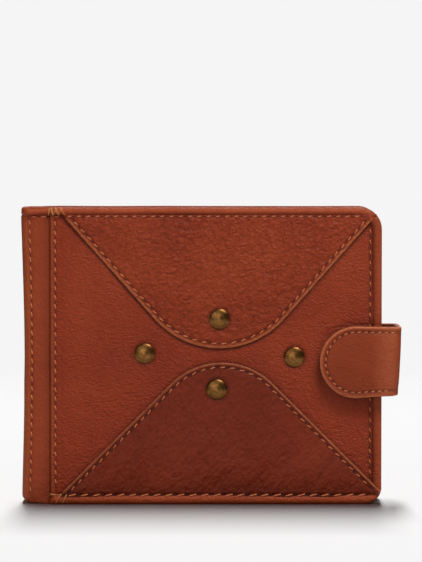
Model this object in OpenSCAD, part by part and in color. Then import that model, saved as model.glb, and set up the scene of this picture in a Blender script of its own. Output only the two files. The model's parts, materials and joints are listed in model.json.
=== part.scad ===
// Landscape leather wallet with a spine on the left, two full leaves, a half-width flap folded in
// from the right, and a strap that wraps the right edge and snaps shut on the front.
// X runs from the spine to the strap, Y from front to back, Z up from the bottom edge. Millimetres.

/* [Overall size] */
// Width from the spine's outer face to the free right edge
body_w = 115; // [92:1:140]
// Height of the leaves
body_h = 95; // [78:1:116]
// Radius of the two upper right corners
corner_top = 7; // [3:0.5:9]
// Radius of the two lower right corners
corner_bottom = 4; // [2:0.5:7]

/* [Leaves] */
// Thickness of the outer cover leather
cover_t = 1; // [0.8:0.1:1.4]
// Thickness of the stiffening board behind each cover
board_t = 1; // [0.8:0.1:1.4]
// Thickness of the woven lining
lining_t = 0.3; // [0.2:0.05:0.5]
// Opening of the note pocket
bill_gap = 0.8; // [0.5:0.1:1.5]
// Thickness of the leather wall between the notes and the cards
divider_t = 0.5; // [0.4:0.1:0.8]
// Opening of one card slot
card_gap = 0.7; // [0.5:0.1:1]
// Thickness of the leather of one card slot
slot_t = 0.5; // [0.4:0.1:0.8]
// Card slots on the front leaf
front_slots = 2; // [1:1:3]
// Card slots on the back leaf
back_slots = 3; // [2:1:4]
// Free gap on each side of the inner flap
leaf_gap = 0.5; // [0.4:0.1:0.9]
// Width of the sewn edge strips
edge_w = 3; // [2.5:0.5:4]
// Width of the cover's turned-in rim
rim_w = 2.8; // [2.2:0.2:3.6]
// Diameter of the rolled bead along the top and bottom edges
bead_d = 2.2; // [1.8:0.1:2.6]
// How far the bead stands in front of the cover
bead_out = 0.6; // [0.3:0.1:0.9]

/* [Spine] */
// Thickness of the spine leather
spine_t = 1; // [0.8:0.1:1.2]
// Outside radius of the two spine folds
spine_r = 2.5; // [2:0.1:3]
// Width of the spine leather seen on each face
spine_band = 9.2; // [7:0.2:12]
// How far the spine leather runs on under the cover
spine_lap = 3.8; // [3:0.2:5]

/* [Front decoration] */
// Thickness of the two shaped overlays
overlay_t = 1; // [0.7:0.1:1.3]
// Slope of the upper overlay's edges from the horizontal
upper_angle = 48.5; // [44:0.5:52]
// Slope of the lower overlay's edges from the horizontal
lower_angle = 45; // [40:0.5:48]
// Radius of the upper overlay's nose
upper_nose_r = 27.6; // [20:0.2:32]
// Radius of the lower overlay's nose
lower_nose_r = 23; // [18:0.2:28]
// Seam distance from an overlay's cut edge
overlay_seam = 1.9; // [1.5:0.1:2.6]
// Diameter of a rivet cap
rivet_d = 6.6; // [5:0.2:8]
// Height of a rivet cap
rivet_h = 1.5; // [1:0.1:1.8]
// Sideways distance of the outer rivets from the middle of the diamond
rivet_dx = 23.9; // [18:0.1:26]
// Upward distance of the other rivets from the middle of the diamond
rivet_dz = 11.4; // [10:0.1:13]

/* [Inner flap] */
// Thickness of the leather frame round the flap's window
frame_t = 0.8; // [0.6:0.1:1]
// Thickness of the clear window
window_t = 0.3; // [0.2:0.1:0.4]
// Opening of the pocket behind the window
photo_gap = 0.8; // [0.6:0.1:1.2]
// Thickness of the flap's base leather
flap_base_t = 0.7; // [0.6:0.1:1]
// Width of the leather frame round the window
frame_w = 7; // [5:0.5:9]

/* [Strap] */
// Height of the strap
strap_h = 23.5; // [18:0.5:28]
// Thickness of the strap's outer leather
strap_t = 1; // [0.8:0.1:1.3]
// Thickness of the strap's lining leather
strap_lining_t = 0.6; // [0.4:0.1:0.8]
// How far the strap stands out past the right edge
strap_out = 6; // [5:0.2:8]
// Gap between the tab and the front cover
strap_gap = 2.2; // [2:0.1:2.8]
// How far the tab reaches inward from the right edge
tab_reach = 19.8; // [17:0.2:26]
// How far the strap's sewn root reaches inward on the back
root_reach = 27; // [22:1:34]
// Outside radius of the two strap folds
strap_r = 2.5; // [2.2:0.1:3]

/* [Hidden] */
$fn = 48;
thread_w = 0.5;       // width of a seam's thread
thread_h = 0.2;       // how far a seam's thread stands out
fold_gap = 0.1;       // half clearance at a mitred fold
fit = 0.1;            // clearance round inserted pieces
over = 1;             // overshoot of cutters
seam_in = 3.7;        // seam distance from the right edge
spine_seam = 2.5;     // seam distance from the spine's outer face
lip_seam = 1.6;       // seam distance from the cover's edge beside the spine
leaf_x = 3.2;         // left edge of the leaves' inner layers
inner_z = 0.6;        // how much shorter the inner layers are at top and bottom
post_d = 2;           // rivet and stud post diameter
cap_d = 6;            // hidden back cap diameter
cap_t = 0.6;          // hidden back cap thickness
hinge_strip_t = 0.35; // flap's hinge strip on the front leaf

flap_t = frame_t + window_t + photo_gap + flap_base_t;
front_t = cover_t + board_t + lining_t + bill_gap + divider_t + front_slots * (card_gap + slot_t);
back_t = cover_t + board_t + lining_t + bill_gap + divider_t + back_slots * (card_gap + slot_t);
depth = front_t + back_t + flap_t + 2 * leaf_gap;
wing_x = spine_band + spine_lap;
strap_all = strap_t + strap_lining_t;
strap_front = -strap_gap - strap_all;
strap_back = depth + strap_all;
strap_x = body_w + strap_out;
strap_z = 0.4805 * body_h;
emblem_x = 0.5496 * body_w;
emblem_z = 0.502 * body_h;
upper_tip_z = 0.5263 * body_h;
lower_tip_z = 0.4726 * body_h;
flap_axis_x = body_w - 3.5;
flap_axis_y = front_t + leaf_gap + flap_t / 2;
flap_w = flap_axis_x / 2;
flap_z = 3;
snap_x = body_w - 10;
snap_hole_d = 3.2;
slot_step = 0.13 * body_h;
slot_top = 0.84 * body_h;

// Puts the finished wallet's bottom centre at the origin.
module place() {
  translate([-strap_x / 2, -(strap_front + strap_back) / 2, 0]) children();
}

// Stands a flat X-Z outline up as a layer that starts at depth y.
module layer(y, t) {
  translate([0, y + t, 0]) rotate([90, 0, 0]) linear_extrude(height = t) children();
}

// Flips a front-leaf layer to the back leaf.
module to_back() {
  translate([0, depth, 0]) mirror([0, 1, 0]) children();
}

// Leaf outline with its two right-hand corners rounded.
module outline(x0, x1, z0, z1, r_top = corner_top, r_low = corner_bottom) {
  difference() {
    translate([x0, z0]) square([x1 - x0, z1 - z0]);
    difference() {
      translate([x1 - r_top, z1 - r_top]) square([r_top + over, r_top + over]);
      translate([x1 - r_top, z1 - r_top]) circle(r = r_top);
    }
    difference() {
      translate([x1 - r_low, z0 - over]) square([r_low + over, r_low + over]);
      translate([x1 - r_low, z0 + r_low]) circle(r = r_low);
    }
  }
}

// Region above a round-nosed V.
module vee(tip_x, tip_z, r, angle) {
  reach = 2 * body_w;
  dx = r * sin(angle);
  dz = -r * cos(angle);
  translate([tip_x, tip_z + r]) {
    circle(r = r, $fn = 96);
    polygon([[-dx, dz], [dx, dz], [dx + reach * cos(angle), dz + reach * sin(angle)],
             [-dx - reach * cos(angle), dz + reach * sin(angle)]]);
  }
}

module lower_place() {
  translate([0.8, 2 * lower_tip_z]) mirror([0, 1]) children();
}

module upper_shape() {
  intersection() {
    outline(spine_band + 1.2, body_w, upper_tip_z - over, body_h - bead_d);
    vee(emblem_x, upper_tip_z, upper_nose_r, upper_angle);
  }
}

module lower_shape() {
  intersection() {
    outline(spine_band + 1.2, body_w, bead_d, lower_tip_z + over, 1);
    lower_place() vee(emblem_x, lower_tip_z, lower_nose_r, lower_angle);
  }
}

// Seam line inside a V's edge: an arc round the nose and a straight run up each side.
module vee_seam(tip_x, tip_z, r, angle) {
  q = r - overlay_seam;
  wedge = angle - 1;
  translate([tip_x, tip_z + r]) {
    intersection() {
      difference() { circle(r = q, $fn = 96); circle(r = q - thread_w, $fn = 96); }
      polygon([[0, 0], [-2 * q * sin(wedge), -2 * q * cos(wedge)], [2 * q * sin(wedge), -2 * q * cos(wedge)]]);
    }
    for (side = [0, 1]) mirror([side, 0])
      translate([q * sin(angle), -q * cos(angle)]) rotate(angle)
        translate([0.3, 0]) square([body_w, thread_w]);
  }
}

// Four rivet positions in a diamond.
module at_rivets() {
  for (p = [[-rivet_dx, 0, 0], [rivet_dx, 0, 0], [0, rivet_dz, 1], [0, -rivet_dz, 1]])
    translate([emblem_x + p[0], -p[2] * overlay_t, emblem_z + p[1]]) children();
}

// Cylinder lying along Y from y to y + h.
module rod(y, h, d) {
  translate([0, y + h, 0]) rotate([90, 0, 0]) cylinder(h = h, d = d);
}

// Post holes through the front decoration and cover.
module post_holes() {
  at_rivets() rod(-over, overlay_t + cover_t + 2 * over, post_d + 2 * fit);
  translate([snap_x, 0, strap_z]) rod(-over, cover_t + 2 * over, post_d + 2 * fit);
}

module cover() {
  difference() {
    union() {
      layer(0, cover_t) outline(spine_band, body_w, 0, body_h);
      layer(cover_t - 0.01, board_t + 0.01) difference() {
        outline(wing_x + fit, body_w, 0, body_h);
        outline(wing_x - over, body_w - rim_w, rim_w, body_h - rim_w, corner_top - 1, corner_bottom - 1);
      }
      for (z = [bead_d / 2, body_h - bead_d / 2])
        translate([spine_band, bead_d / 2 - bead_out, z]) rotate([0, 90, 0])
          cylinder(h = body_w - spine_band - (z > bead_d ? corner_top : corner_bottom), d = bead_d);
    }
    translate([spine_band - over, cover_t, -over])
      cube([spine_lap + over + fit, board_t + over, body_h + 2 * over]);
  }
}

module board() {
  layer(cover_t, board_t)
    outline(wing_x + fit, body_w - rim_w - fit, rim_w + fit, body_h - rim_w - fit,
            corner_top - 1, corner_bottom - 1);
}

module lining() {
  layer(cover_t + board_t, lining_t)
    outline(leaf_x, body_w, inner_z, body_h - inner_z);
}

// Strips that close the left, right and bottom edges of a pocket.
module edging(y, t, top) {
  layer(y, t) difference() {
    outline(leaf_x, body_w, inner_z, top, top > body_h - 2 ? corner_top : 0.5);
    outline(leaf_x + edge_w, body_w - edge_w, inner_z + edge_w, top + over, 0.5, 1);
  }
}

module divider(y) {
  layer(y, divider_t) outline(leaf_x, body_w, inner_z, body_h - inner_z);
}

note_y = cover_t + board_t + lining_t;
slots_y = note_y + bill_gap + divider_t;

function slot_z(i) = slot_top - i * slot_step;

module slot_edging(count) {
  for (i = [0 : count - 1])
    edging(slots_y + i * (card_gap + slot_t), card_gap, slot_z(i));
}

module slot_sheets(count) {
  for (i = [0 : count - 1])
    layer(slots_y + card_gap + i * (card_gap + slot_t), slot_t)
      outline(leaf_x, body_w, inner_z, slot_z(i), 0.5);
}

// Right and left seams of a cover, on the leather's face.
module leaf_seams(y_top) {
  translate([0, -thread_h, 0]) {
    for (x = [spine_band + lip_seam, body_w - seam_in])
      translate([x - thread_w / 2, 0, corner_top + 1.5])
        cube([thread_w, thread_h, body_h - 2 * corner_top - 3]);
    translate([spine_seam - thread_w / 2, spine_t, corner_bottom])
      cube([thread_w, thread_h, body_h - 2 * corner_bottom]);
    for (z = [bead_d + 0.7, body_h - bead_d - 0.7])
      translate([spine_band + lip_seam + 4, y_top, z - thread_w / 2])
        cube([body_w - spine_band - lip_seam - 4 - corner_top, thread_h, thread_w]);
  }
}

// Section of the spine leather, seen along Z, between two depths under its outer face.
module spine_section(o0, o1, x1) {
  difference() {
    spine_solid(o0, x1);
    spine_solid(o1, x1 + over);
  }
}

module spine_solid(o, x1) {
  y0 = spine_t + o;
  y1 = depth - spine_t - o;
  r = spine_r - o;
  difference() {
    translate([o, y0]) square([x1 - o, y1 - y0]);
    for (y = [y0, y1]) difference() {
      translate([o - over, y == y0 ? y0 - over : y1 - r]) square([r + over, r + over]);
      translate([o + r, y == y0 ? y0 + r : y1 - r]) circle(r = r);
    }
  }
}

module wing() {
  linear_extrude(height = body_h) intersection() {
    spine_section(0, spine_t, wing_x);
    polygon([[-1, spine_t - 1 - fold_gap], [3, spine_t + 3 - fold_gap], [wing_x + 1, spine_t + 3 - fold_gap],
             [wing_x + 1, spine_t - 1 - fold_gap]]);
  }
}

module spine_layer(o0, o1, z0) {
  translate([0, 0, z0]) linear_extrude(height = body_h - 2 * z0) intersection() {
    spine_section(o0, o1, wing_x);
    polygon([[-1, spine_t - 1 + fold_gap], [3, spine_t + 3 + fold_gap], [3, depth - spine_t - 3 - fold_gap],
             [-1, depth - spine_t + 1 - fold_gap]]);
  }
}

// Section of the strap, seen along Z, between two depths under its outer face.
module strap_section(o0, o1) {
  difference() {
    strap_solid(o0);
    strap_solid(o1);
  }
}

module strap_solid(o) {
  y0 = strap_front + o;
  y1 = strap_back - o;
  r = strap_r - o;
  x1 = strap_x - o;
  difference() {
    translate([o - over, y0]) square([x1 - o + over, y1 - y0]);
    for (y = [y0, y1]) difference() {
      translate([x1 - r, y == y0 ? y0 - over : y1 - r]) square([r + over, r + over]);
      translate([x1 - r, y == y0 ? y0 + r : y1 - r]) circle(r = r);
    }
  }
}

// Full-height bar of the strap's section.
module strap_bar(o0, o1) {
  translate([0, 0, strap_z - strap_h / 2]) linear_extrude(height = strap_h) intersection() {
    strap_section(o0, o1);
    children();
  }
}

module tab_zone() {
  polygon([[0, strap_front - 1], [strap_x + 1 - fold_gap, strap_front - 1],
           [strap_x - 4 - fold_gap, strap_front + 4], [0, strap_front + 4]]);
}

module side_zone() {
  polygon([[strap_x + 1, strap_front - 1 + fold_gap], [strap_x - 4, strap_front + 4 + fold_gap],
           [strap_x - 4, strap_back - 4 - fold_gap], [strap_x + 1, strap_back + 1 - fold_gap]]);
}

module root_zone() {
  polygon([[0, strap_back + 1], [strap_x + 1 - fold_gap, strap_back + 1],
           [strap_x - 4 - fold_gap, strap_back - 4], [0, strap_back - 4]]);
}

// Round-ended outline of the tab.
module tab_outline(inset = 0) {
  r = strap_h / 2 - inset;
  x0 = body_w - tab_reach + strap_h / 2;
  translate([x0, strap_z]) circle(r = r, $fn = 96);
  translate([x0, strap_z - r]) square([strap_x - x0 + over, 2 * r]);
}

module root_outline(inset = 0) {
  x0 = body_w - root_reach + inset;
  translate([x0, strap_z - strap_h / 2 + inset])
    square([strap_x - x0 + over, strap_h - 2 * inset]);
}

module front_cover() { color("#8a3c22") difference() { cover(); post_holes(); } }
module front_spine_wing() { color("#9a4626") wing(); }
module front_board() {
  color("#b59a72") difference() {
    board();
    at_rivets() rod(-over, 3 * over + overlay_t + cover_t + board_t, cap_d + 4 * fit);
    translate([snap_x, 0, strap_z]) rod(0, cover_t + board_t + over, cap_d + 4 * fit);
  }
}
module front_lining() { color("#3b2a22") lining(); }
module front_note_edging() { color("#6b3320") edging(note_y, bill_gap, body_h - inner_z); }
module front_divider() { color("#7a3a22") divider(note_y + bill_gap); }
module front_slot_edging() { color("#6b3320") slot_edging(front_slots); }
module front_slot_sheets() { color("#8a4427") slot_sheets(front_slots); }
module front_seams() { color("#c8825f") leaf_seams(-overlay_t); }
module upper_overlay() {
  color("#8f4128") difference() { layer(-overlay_t, overlay_t) upper_shape(); post_holes(); }
}
module lower_overlay() {
  color("#732a16") difference() { layer(-overlay_t, overlay_t) lower_shape(); post_holes(); }
}

// Thread along each overlay's slanted edges.
module overlay_seams() {
  x0 = spine_band + 3;
  z0 = bead_d + 1.5;
  color("#c8825f") layer(-overlay_t - thread_h, thread_h) intersection() {
    translate([x0, z0]) square([body_w - x0 - seam_in - 1, body_h - 2 * z0]);
    union() {
      vee_seam(emblem_x, upper_tip_z, upper_nose_r, upper_angle);
      lower_place() vee_seam(emblem_x, lower_tip_z, lower_nose_r, lower_angle);
    }
  }
}

module rivet_caps() {
  color("#8b6b3a") at_rivets() {
    rod(-0.5, 0.5, rivet_d);
    translate([0, -0.5, 0]) rotate([90, 0, 0])
      cylinder(h = rivet_h - 0.5, r1 = rivet_d / 2, r2 = rivet_d / 5);
  }
}

// Post and hidden cap of each rivet.
module rivet_backs() {
  color("#7c6034") for (p = [[-rivet_dx, 0, 0], [rivet_dx, 0, 0], [0, rivet_dz, 1], [0, -rivet_dz, 1]])
    translate([emblem_x + p[0], 0, emblem_z + p[1]]) {
      rod(-p[2] * overlay_t, p[2] * overlay_t + cover_t + cap_t / 2, post_d);
      rod(cover_t, cap_t, cap_d);
    }
}

module snap_stud() {
  color("#9a7a45") translate([snap_x, 0, strap_z]) {
    rod(-0.4, 0.4, cap_d);
    rod(-1.2, 1, 3.2);
    translate([0, -1.2, 0]) rotate([90, 0, 0]) cylinder(h = 0.4, d1 = 3.2, d2 = 4.1);
    translate([0, -1.6, 0]) rotate([90, 0, 0]) cylinder(h = 0.35, d1 = 4.1, d2 = 3);
  }
}

module snap_stud_back() {
  color("#9a7a45") translate([snap_x, 0, strap_z]) {
    rod(0, cover_t + cap_t / 2, post_d);
    rod(cover_t, cap_t, cap_d);
  }
}

// Strip on the front leaf that the flap is hinged to.
module flap_hinge_strip() {
  color("#6b3320") layer(front_t, hinge_strip_t)
    outline(flap_axis_x - 1.2, body_w - 0.5, flap_z, slot_z(front_slots - 1) - 2, 1, 1);
}

module flap_plate(y, t) {
  layer(front_t + leaf_gap + y, t)
    translate([flap_axis_x - flap_w, flap_z]) square([flap_w - 1.4, body_h - 2 * flap_z]);
}

module flap_hole(y, t, w) {
  layer(front_t + leaf_gap + y, t)
    translate([flap_axis_x - flap_w + w, flap_z + w])
      square([flap_w - 1.4 - 2 * w, body_h - 2 * flap_z - 2 * w]);
}

module flap_window_frame() {
  color("#84401f") difference() {
    flap_plate(0, frame_t);
    flap_hole(-over, frame_t + 2 * over, frame_w);
  }
}
module flap_window() {
  color("#cfd8dc") layer(front_t + leaf_gap + frame_t, window_t)
    translate([flap_axis_x - flap_w + 1.5, flap_z + 1.5])
      square([flap_w - 4.4, body_h - 2 * flap_z - 3]);
}

// Pocket edges of the flap, open at the top.
module flap_edging() {
  color("#6b3320") layer(front_t + leaf_gap + frame_t + window_t, photo_gap) difference() {
    translate([flap_axis_x - flap_w, flap_z]) square([flap_w - 1.4, body_h - 2 * flap_z]);
    translate([flap_axis_x - flap_w + edge_w, flap_z + edge_w])
      square([flap_w - 1.4 - 2 * edge_w, body_h]);
  }
}

// Base leather of the flap with its rolled hinge edge.
module flap_base() {
  color("#7d3b21") {
    flap_plate(frame_t + window_t + photo_gap, flap_base_t);
    translate([flap_axis_x, flap_axis_y, flap_z]) cylinder(h = body_h - 2 * flap_z, d = flap_t);
    translate([flap_axis_x - 1.5, front_t + leaf_gap + frame_t + window_t + photo_gap, flap_z])
      cube([1.5, flap_base_t, body_h - 2 * flap_z]);
  }
}

module flap_seams() {
  color("#c8825f") layer(front_t + leaf_gap - thread_h, thread_h) difference() {
    translate([flap_axis_x - flap_w + 1.5, flap_z + 1.5])
      square([flap_w - 1.4 - 3, body_h - 2 * flap_z - 3]);
    translate([flap_axis_x - flap_w + 2, flap_z + 2])
      square([flap_w - 1.4 - 4, body_h - 2 * flap_z - 4]);
  }
}

module spine_panel() { color("#7a3018") spine_layer(0, spine_t, 0); }
module spine_lining() { color("#3b2a22") spine_layer(spine_t, spine_t + lining_t, inner_z); }

module back_cover() { color("#8a3c22") to_back() cover(); }
module back_spine_wing() { color("#9a4626") to_back() wing(); }
module back_board() { color("#b59a72") to_back() board(); }
module back_lining() { color("#3b2a22") to_back() lining(); }
module back_note_edging() { color("#6b3320") to_back() edging(note_y, bill_gap, body_h - inner_z); }
module back_divider() { color("#7a3a22") to_back() divider(note_y + bill_gap); }
module back_slot_edging() { color("#6b3320") to_back() slot_edging(back_slots); }
module back_slot_sheets() { color("#8a4427") to_back() slot_sheets(back_slots); }

// Seams of the back cover, stopping short of the strap's root.
module back_seams() {
  color("#c8825f") difference() {
    to_back() leaf_seams(0);
    translate([body_w - root_reach - fit, depth - over, strap_z - strap_h / 2 - fit])
      cube([root_reach + 2 * fit, 3 * over, strap_h + 2 * fit]);
  }
}

module strap_root() {
  color("#8a3c22") intersection() {
    strap_bar(0, strap_t) root_zone();
    layer(depth - over, strap_all + 2 * over) root_outline();
  }
}
module strap_root_lining() {
  color("#6b3320") intersection() {
    strap_bar(strap_t, strap_all) root_zone();
    layer(depth - over, strap_all + 2 * over) root_outline();
  }
}
module strap_root_seam() {
  color("#c8825f") layer(strap_back, thread_h) difference() {
    translate([body_w - root_reach + 2, strap_z - strap_h / 2 + 2])
      square([root_reach - 5, strap_h - 4]);
    translate([body_w - root_reach + 2.5, strap_z - strap_h / 2 + 2.5])
      square([root_reach - 6, strap_h - 5]);
  }
}
module strap_side() { color("#8a3c22") strap_bar(0, strap_t) side_zone(); }
module strap_side_lining() { color("#6b3320") strap_bar(strap_t, strap_all) side_zone(); }

module strap_tab() {
  color("#964628") difference() {
    intersection() {
      strap_bar(0, strap_t) tab_zone();
      layer(strap_front - over, strap_all + 2 * over) tab_outline();
    }
    translate([snap_x, 0, strap_z]) rod(strap_front + strap_t - 0.5, 1, 8.2);
  }
}
module strap_tab_lining() {
  color("#6b3320") difference() {
    intersection() {
      strap_bar(strap_t, strap_all) tab_zone();
      layer(strap_front - over, strap_all + 2 * over) tab_outline();
    }
    translate([snap_x, 0, strap_z]) rod(strap_front + strap_t - over, 3, snap_hole_d);
  }
}
module strap_tab_seam() {
  color("#c8825f") intersection() {
    layer(strap_front - thread_h, thread_h) difference() { tab_outline(2); tab_outline(2.5); }
    translate([0, strap_front - 2, 0]) cube([strap_x - strap_r, 4, body_h]);
  }
}

// Ring that grips the stud, under the tab.
module snap_socket() {
  color("#9a7a45") translate([snap_x, 0, strap_z]) difference() {
    rod(-strap_gap, 1.4, 8.6);
    rod(-strap_gap + 0.2, 2, 4.5);
  }
}

// Plate and post hidden between the tab's two leathers.
module snap_socket_plate() {
  color("#9a7a45") translate([snap_x, 0, strap_z]) {
    rod(strap_front + strap_t - 0.45, 0.45, 8);
    rod(strap_front + strap_t - 0.1, strap_lining_t + 0.1, snap_hole_d - 2 * fit);
  }
}

place() {
  front_cover();
  front_spine_wing();
  front_board();
  front_lining();
  front_note_edging();
  front_divider();
  front_slot_edging();
  front_slot_sheets();
  front_seams();
  upper_overlay();
  lower_overlay();
  overlay_seams();
  rivet_caps();
  rivet_backs();
  snap_stud();
  snap_stud_back();
  flap_hinge_strip();
  flap_base();
  flap_edging();
  flap_window();
  flap_window_frame();
  flap_seams();
  spine_panel();
  spine_lining();
  back_cover();
  back_spine_wing();
  back_board();
  back_lining();
  back_note_edging();
  back_divider();
  back_slot_edging();
  back_slot_sheets();
  back_seams();
  strap_root();
  strap_root_lining();
  strap_root_seam();
  strap_side();
  strap_side_lining();
  strap_tab();
  strap_tab_lining();
  strap_tab_seam();
  snap_socket();
  snap_socket_plate();
}
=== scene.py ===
import bpy, json, math
import numpy as np
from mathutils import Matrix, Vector

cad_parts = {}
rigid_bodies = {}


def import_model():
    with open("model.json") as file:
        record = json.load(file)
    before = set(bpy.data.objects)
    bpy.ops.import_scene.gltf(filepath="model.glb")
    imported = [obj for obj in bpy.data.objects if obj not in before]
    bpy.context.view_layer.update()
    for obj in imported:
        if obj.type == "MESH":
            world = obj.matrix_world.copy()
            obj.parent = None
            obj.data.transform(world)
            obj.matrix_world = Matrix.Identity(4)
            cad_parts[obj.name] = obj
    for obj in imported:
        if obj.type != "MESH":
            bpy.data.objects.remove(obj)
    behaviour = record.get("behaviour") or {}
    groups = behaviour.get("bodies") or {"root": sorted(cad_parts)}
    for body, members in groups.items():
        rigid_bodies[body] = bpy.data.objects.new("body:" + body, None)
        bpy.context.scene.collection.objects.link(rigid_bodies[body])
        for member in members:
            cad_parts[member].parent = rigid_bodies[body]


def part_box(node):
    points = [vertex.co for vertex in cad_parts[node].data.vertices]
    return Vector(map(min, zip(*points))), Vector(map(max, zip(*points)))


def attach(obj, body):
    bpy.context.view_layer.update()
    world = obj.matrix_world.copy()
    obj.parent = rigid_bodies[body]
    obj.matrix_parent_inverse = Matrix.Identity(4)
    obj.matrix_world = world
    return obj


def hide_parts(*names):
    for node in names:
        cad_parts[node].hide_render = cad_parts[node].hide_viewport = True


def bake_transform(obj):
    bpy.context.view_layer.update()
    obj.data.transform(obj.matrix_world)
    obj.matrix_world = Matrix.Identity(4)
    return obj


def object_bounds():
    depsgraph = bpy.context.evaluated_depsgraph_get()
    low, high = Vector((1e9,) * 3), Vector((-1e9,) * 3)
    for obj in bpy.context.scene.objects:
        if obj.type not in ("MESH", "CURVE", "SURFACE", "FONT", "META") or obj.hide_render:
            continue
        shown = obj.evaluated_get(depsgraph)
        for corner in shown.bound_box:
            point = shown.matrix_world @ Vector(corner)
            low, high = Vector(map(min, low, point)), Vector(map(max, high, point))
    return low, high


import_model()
CAD_LO, CAD_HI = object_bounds()

# Sizes in millimetres, measured from the CAD boxes: x from the spine, y from the front cover's face, z up.
MM = 0.001
BEAD_OUT = 0.6  # how far the covers' rims stand out of their faces
cover_lo, cover_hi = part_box("front_cover")
X0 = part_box("spine_panel")[0].x / MM
Y0 = cover_lo.y / MM + BEAD_OUT


def span(node, axis):
    """Both ends of a CAD box along one axis, in the wallet's own millimetres."""
    shift = (X0, Y0, 0.0)[axis]
    return [corner[axis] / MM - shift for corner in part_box(node)]


BAND, W = span("front_cover", 0)  # the spine band's width and the body's width
H = cover_hi.z / MM
D = span("back_cover", 1)[1] - BEAD_OUT
TAB_X, STRAP_X = span("strap_tab", 0)
STRAP_F, STRAP_B = span("strap_tab", 1)[0], span("strap_root", 1)[1]
Z_LOW, Z_TOP = span("strap_tab", 2)
STRAP_Z, STRAP_H = (Z_LOW + Z_TOP) / 2, Z_TOP - Z_LOW
ROOT_X = span("strap_root", 0)[0]
STUD_X = sum(span("snap_stud", 0)) / 2
CORNER_TOP, CORNER_LOW = 7.0, 5.4
LEAF_X, LEAF_IN = 3.2, 0.6  # where the inner layers start, and how far inside the cover they stay
PITCH = 2.95
rng = np.random.default_rng(7)


def vnoise(u, v, scale, seed):
    """Smooth value noise in -1..1 over a plane."""
    table = np.random.default_rng(seed).uniform(-1, 1, (64, 64))
    a, b = np.asarray(u) / scale + 100.3, np.asarray(v) / scale + 57.7
    i, j = np.floor(a).astype(int), np.floor(b).astype(int)
    f, g = a - i, b - j
    f, g = f * f * (3 - 2 * f), g * g * (3 - 2 * g)
    t = lambda p, q: table[p % 64, q % 64]
    return (t(i, j) * (1 - f) + t(i + 1, j) * f) * (1 - g) + (t(i, j + 1) * (1 - f) + t(i + 1, j + 1) * f) * g


def smooth(a, b, x):
    """0 at a and 1 at b, eased at both ends."""
    t = np.clip((x - a) / (b - a), 0, 1)
    return t * t * (3 - 2 * t)


def bell(d, width, power=2):
    """1 on a line, falling off to either side of it."""
    return np.exp(-(d / width) ** power)


def seg_dist(px, pz, path):
    """Distance from points to an open polyline."""
    best = np.full(np.shape(px), 1e9)
    for (ax, az), (bx, bz) in zip(path[:-1], path[1:]):
        dx, dz = bx - ax, bz - az
        t = np.clip(((px - ax) * dx + (pz - az) * dz) / max(dx * dx + dz * dz, 1e-12), 0, 1)
        best = np.minimum(best, np.hypot(px - ax - t * dx, pz - az - t * dz))
    return best


def path_length(p):
    return np.concatenate([[0], np.cumsum(np.hypot(*np.diff(p, axis=0).T))])


def resample(points, step, closed=True):
    p = np.asarray(points, float)
    if closed:
        p = np.vstack([p, p[:1]])
    s = path_length(p)
    n = max(3, int(round(s[-1] / step)))
    at = np.linspace(0, s[-1], n + 1)
    out = np.stack([np.interp(at, s, p[:, k]) for k in range(p.shape[1])], 1)
    return out[:-1] if closed else out


def arc(cx, cz, r, a0, a1, n=12):
    t = np.radians(np.linspace(a0, a1, n))
    return [(cx + r * math.cos(a), cz + r * math.sin(a)) for a in t]


def rounded(x0, x1, z0, z1, rs):
    """Closed outline with corner radii for bottom-left, bottom-right, top-right, top-left."""
    a, b, c, d = rs
    return (arc(x0 + a, z0 + a, a, 180, 270) + arc(x1 - b, z0 + b, b, 270, 360)
            + arc(x1 - c, z1 - c, c, 0, 90) + arc(x0 + d, z1 - d, d, 90, 180))


def inward(loop, d):
    """Loop moved inward by d along its normals, mitred where a sharp corner would cross itself."""
    t = np.roll(loop, -1, 0) - np.roll(loop, 1, 0)
    t /= np.maximum(np.hypot(t[:, 0], t[:, 1]), 1e-9)[:, None]
    out = loop + d * np.stack([-t[:, 1], t[:, 0]], 1)
    if d > 0.05:
        clear = seg_dist(out[:, 0], out[:, 1], np.vstack([loop, loop[:1]])) > 0.96 * d - 1e-3
        if clear.sum() > 8 and not clear.all():
            at = np.arange(len(loop))
            out = np.stack([np.interp(at, at[clear], out[clear, c], period=len(loop)) for c in (0, 1)], 1)
    return out


def tube_faces(rows, sides, base=0, closed=False, caps=True, flip=False):
    """Quads between rings of vertices, with end faces; closed joins the last ring to the first instead."""
    faces = []
    for k in range(rows if closed else rows - 1):
        low, high = base + k * sides, base + (k + 1) % rows * sides
        faces += [(low + a, low + (a + 1) % sides, high + (a + 1) % sides, high + a) for a in range(sides)]
    if caps:
        last = base + (rows - 1) * sides
        faces += [tuple(range(base, base + sides))[::-1], tuple(range(last, last + sides))]
    return [f[::-1] for f in faces] if flip else faces


def new_object(name, verts, faces, material, cut=None, dark=None, smooth_shade=True):
    """Mesh from frame-local millimetres; keeps its rest position for the textures."""
    v = np.asarray(verts, float)
    me = bpy.data.meshes.new(name)
    world = (v + [X0, Y0, 0]) * MM
    me.from_pydata(world.tolist(), [], faces)
    me.update()
    me.polygons.foreach_set("use_smooth", [smooth_shade] * len(me.polygons))
    a = me.attributes.new("rest", "FLOAT_VECTOR", "POINT")
    a.data.foreach_set("vector", v.astype(np.float32).ravel())
    for label, values in (("cut", cut), ("dark", dark)):
        if values is not None:
            b = me.attributes.new(label, "FLOAT", "POINT")
            b.data.foreach_set("value", np.asarray(values, np.float32))
    o = bpy.data.objects.new(name, me)
    bpy.context.scene.collection.objects.link(o)
    me.materials.append(material)
    return o


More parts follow.
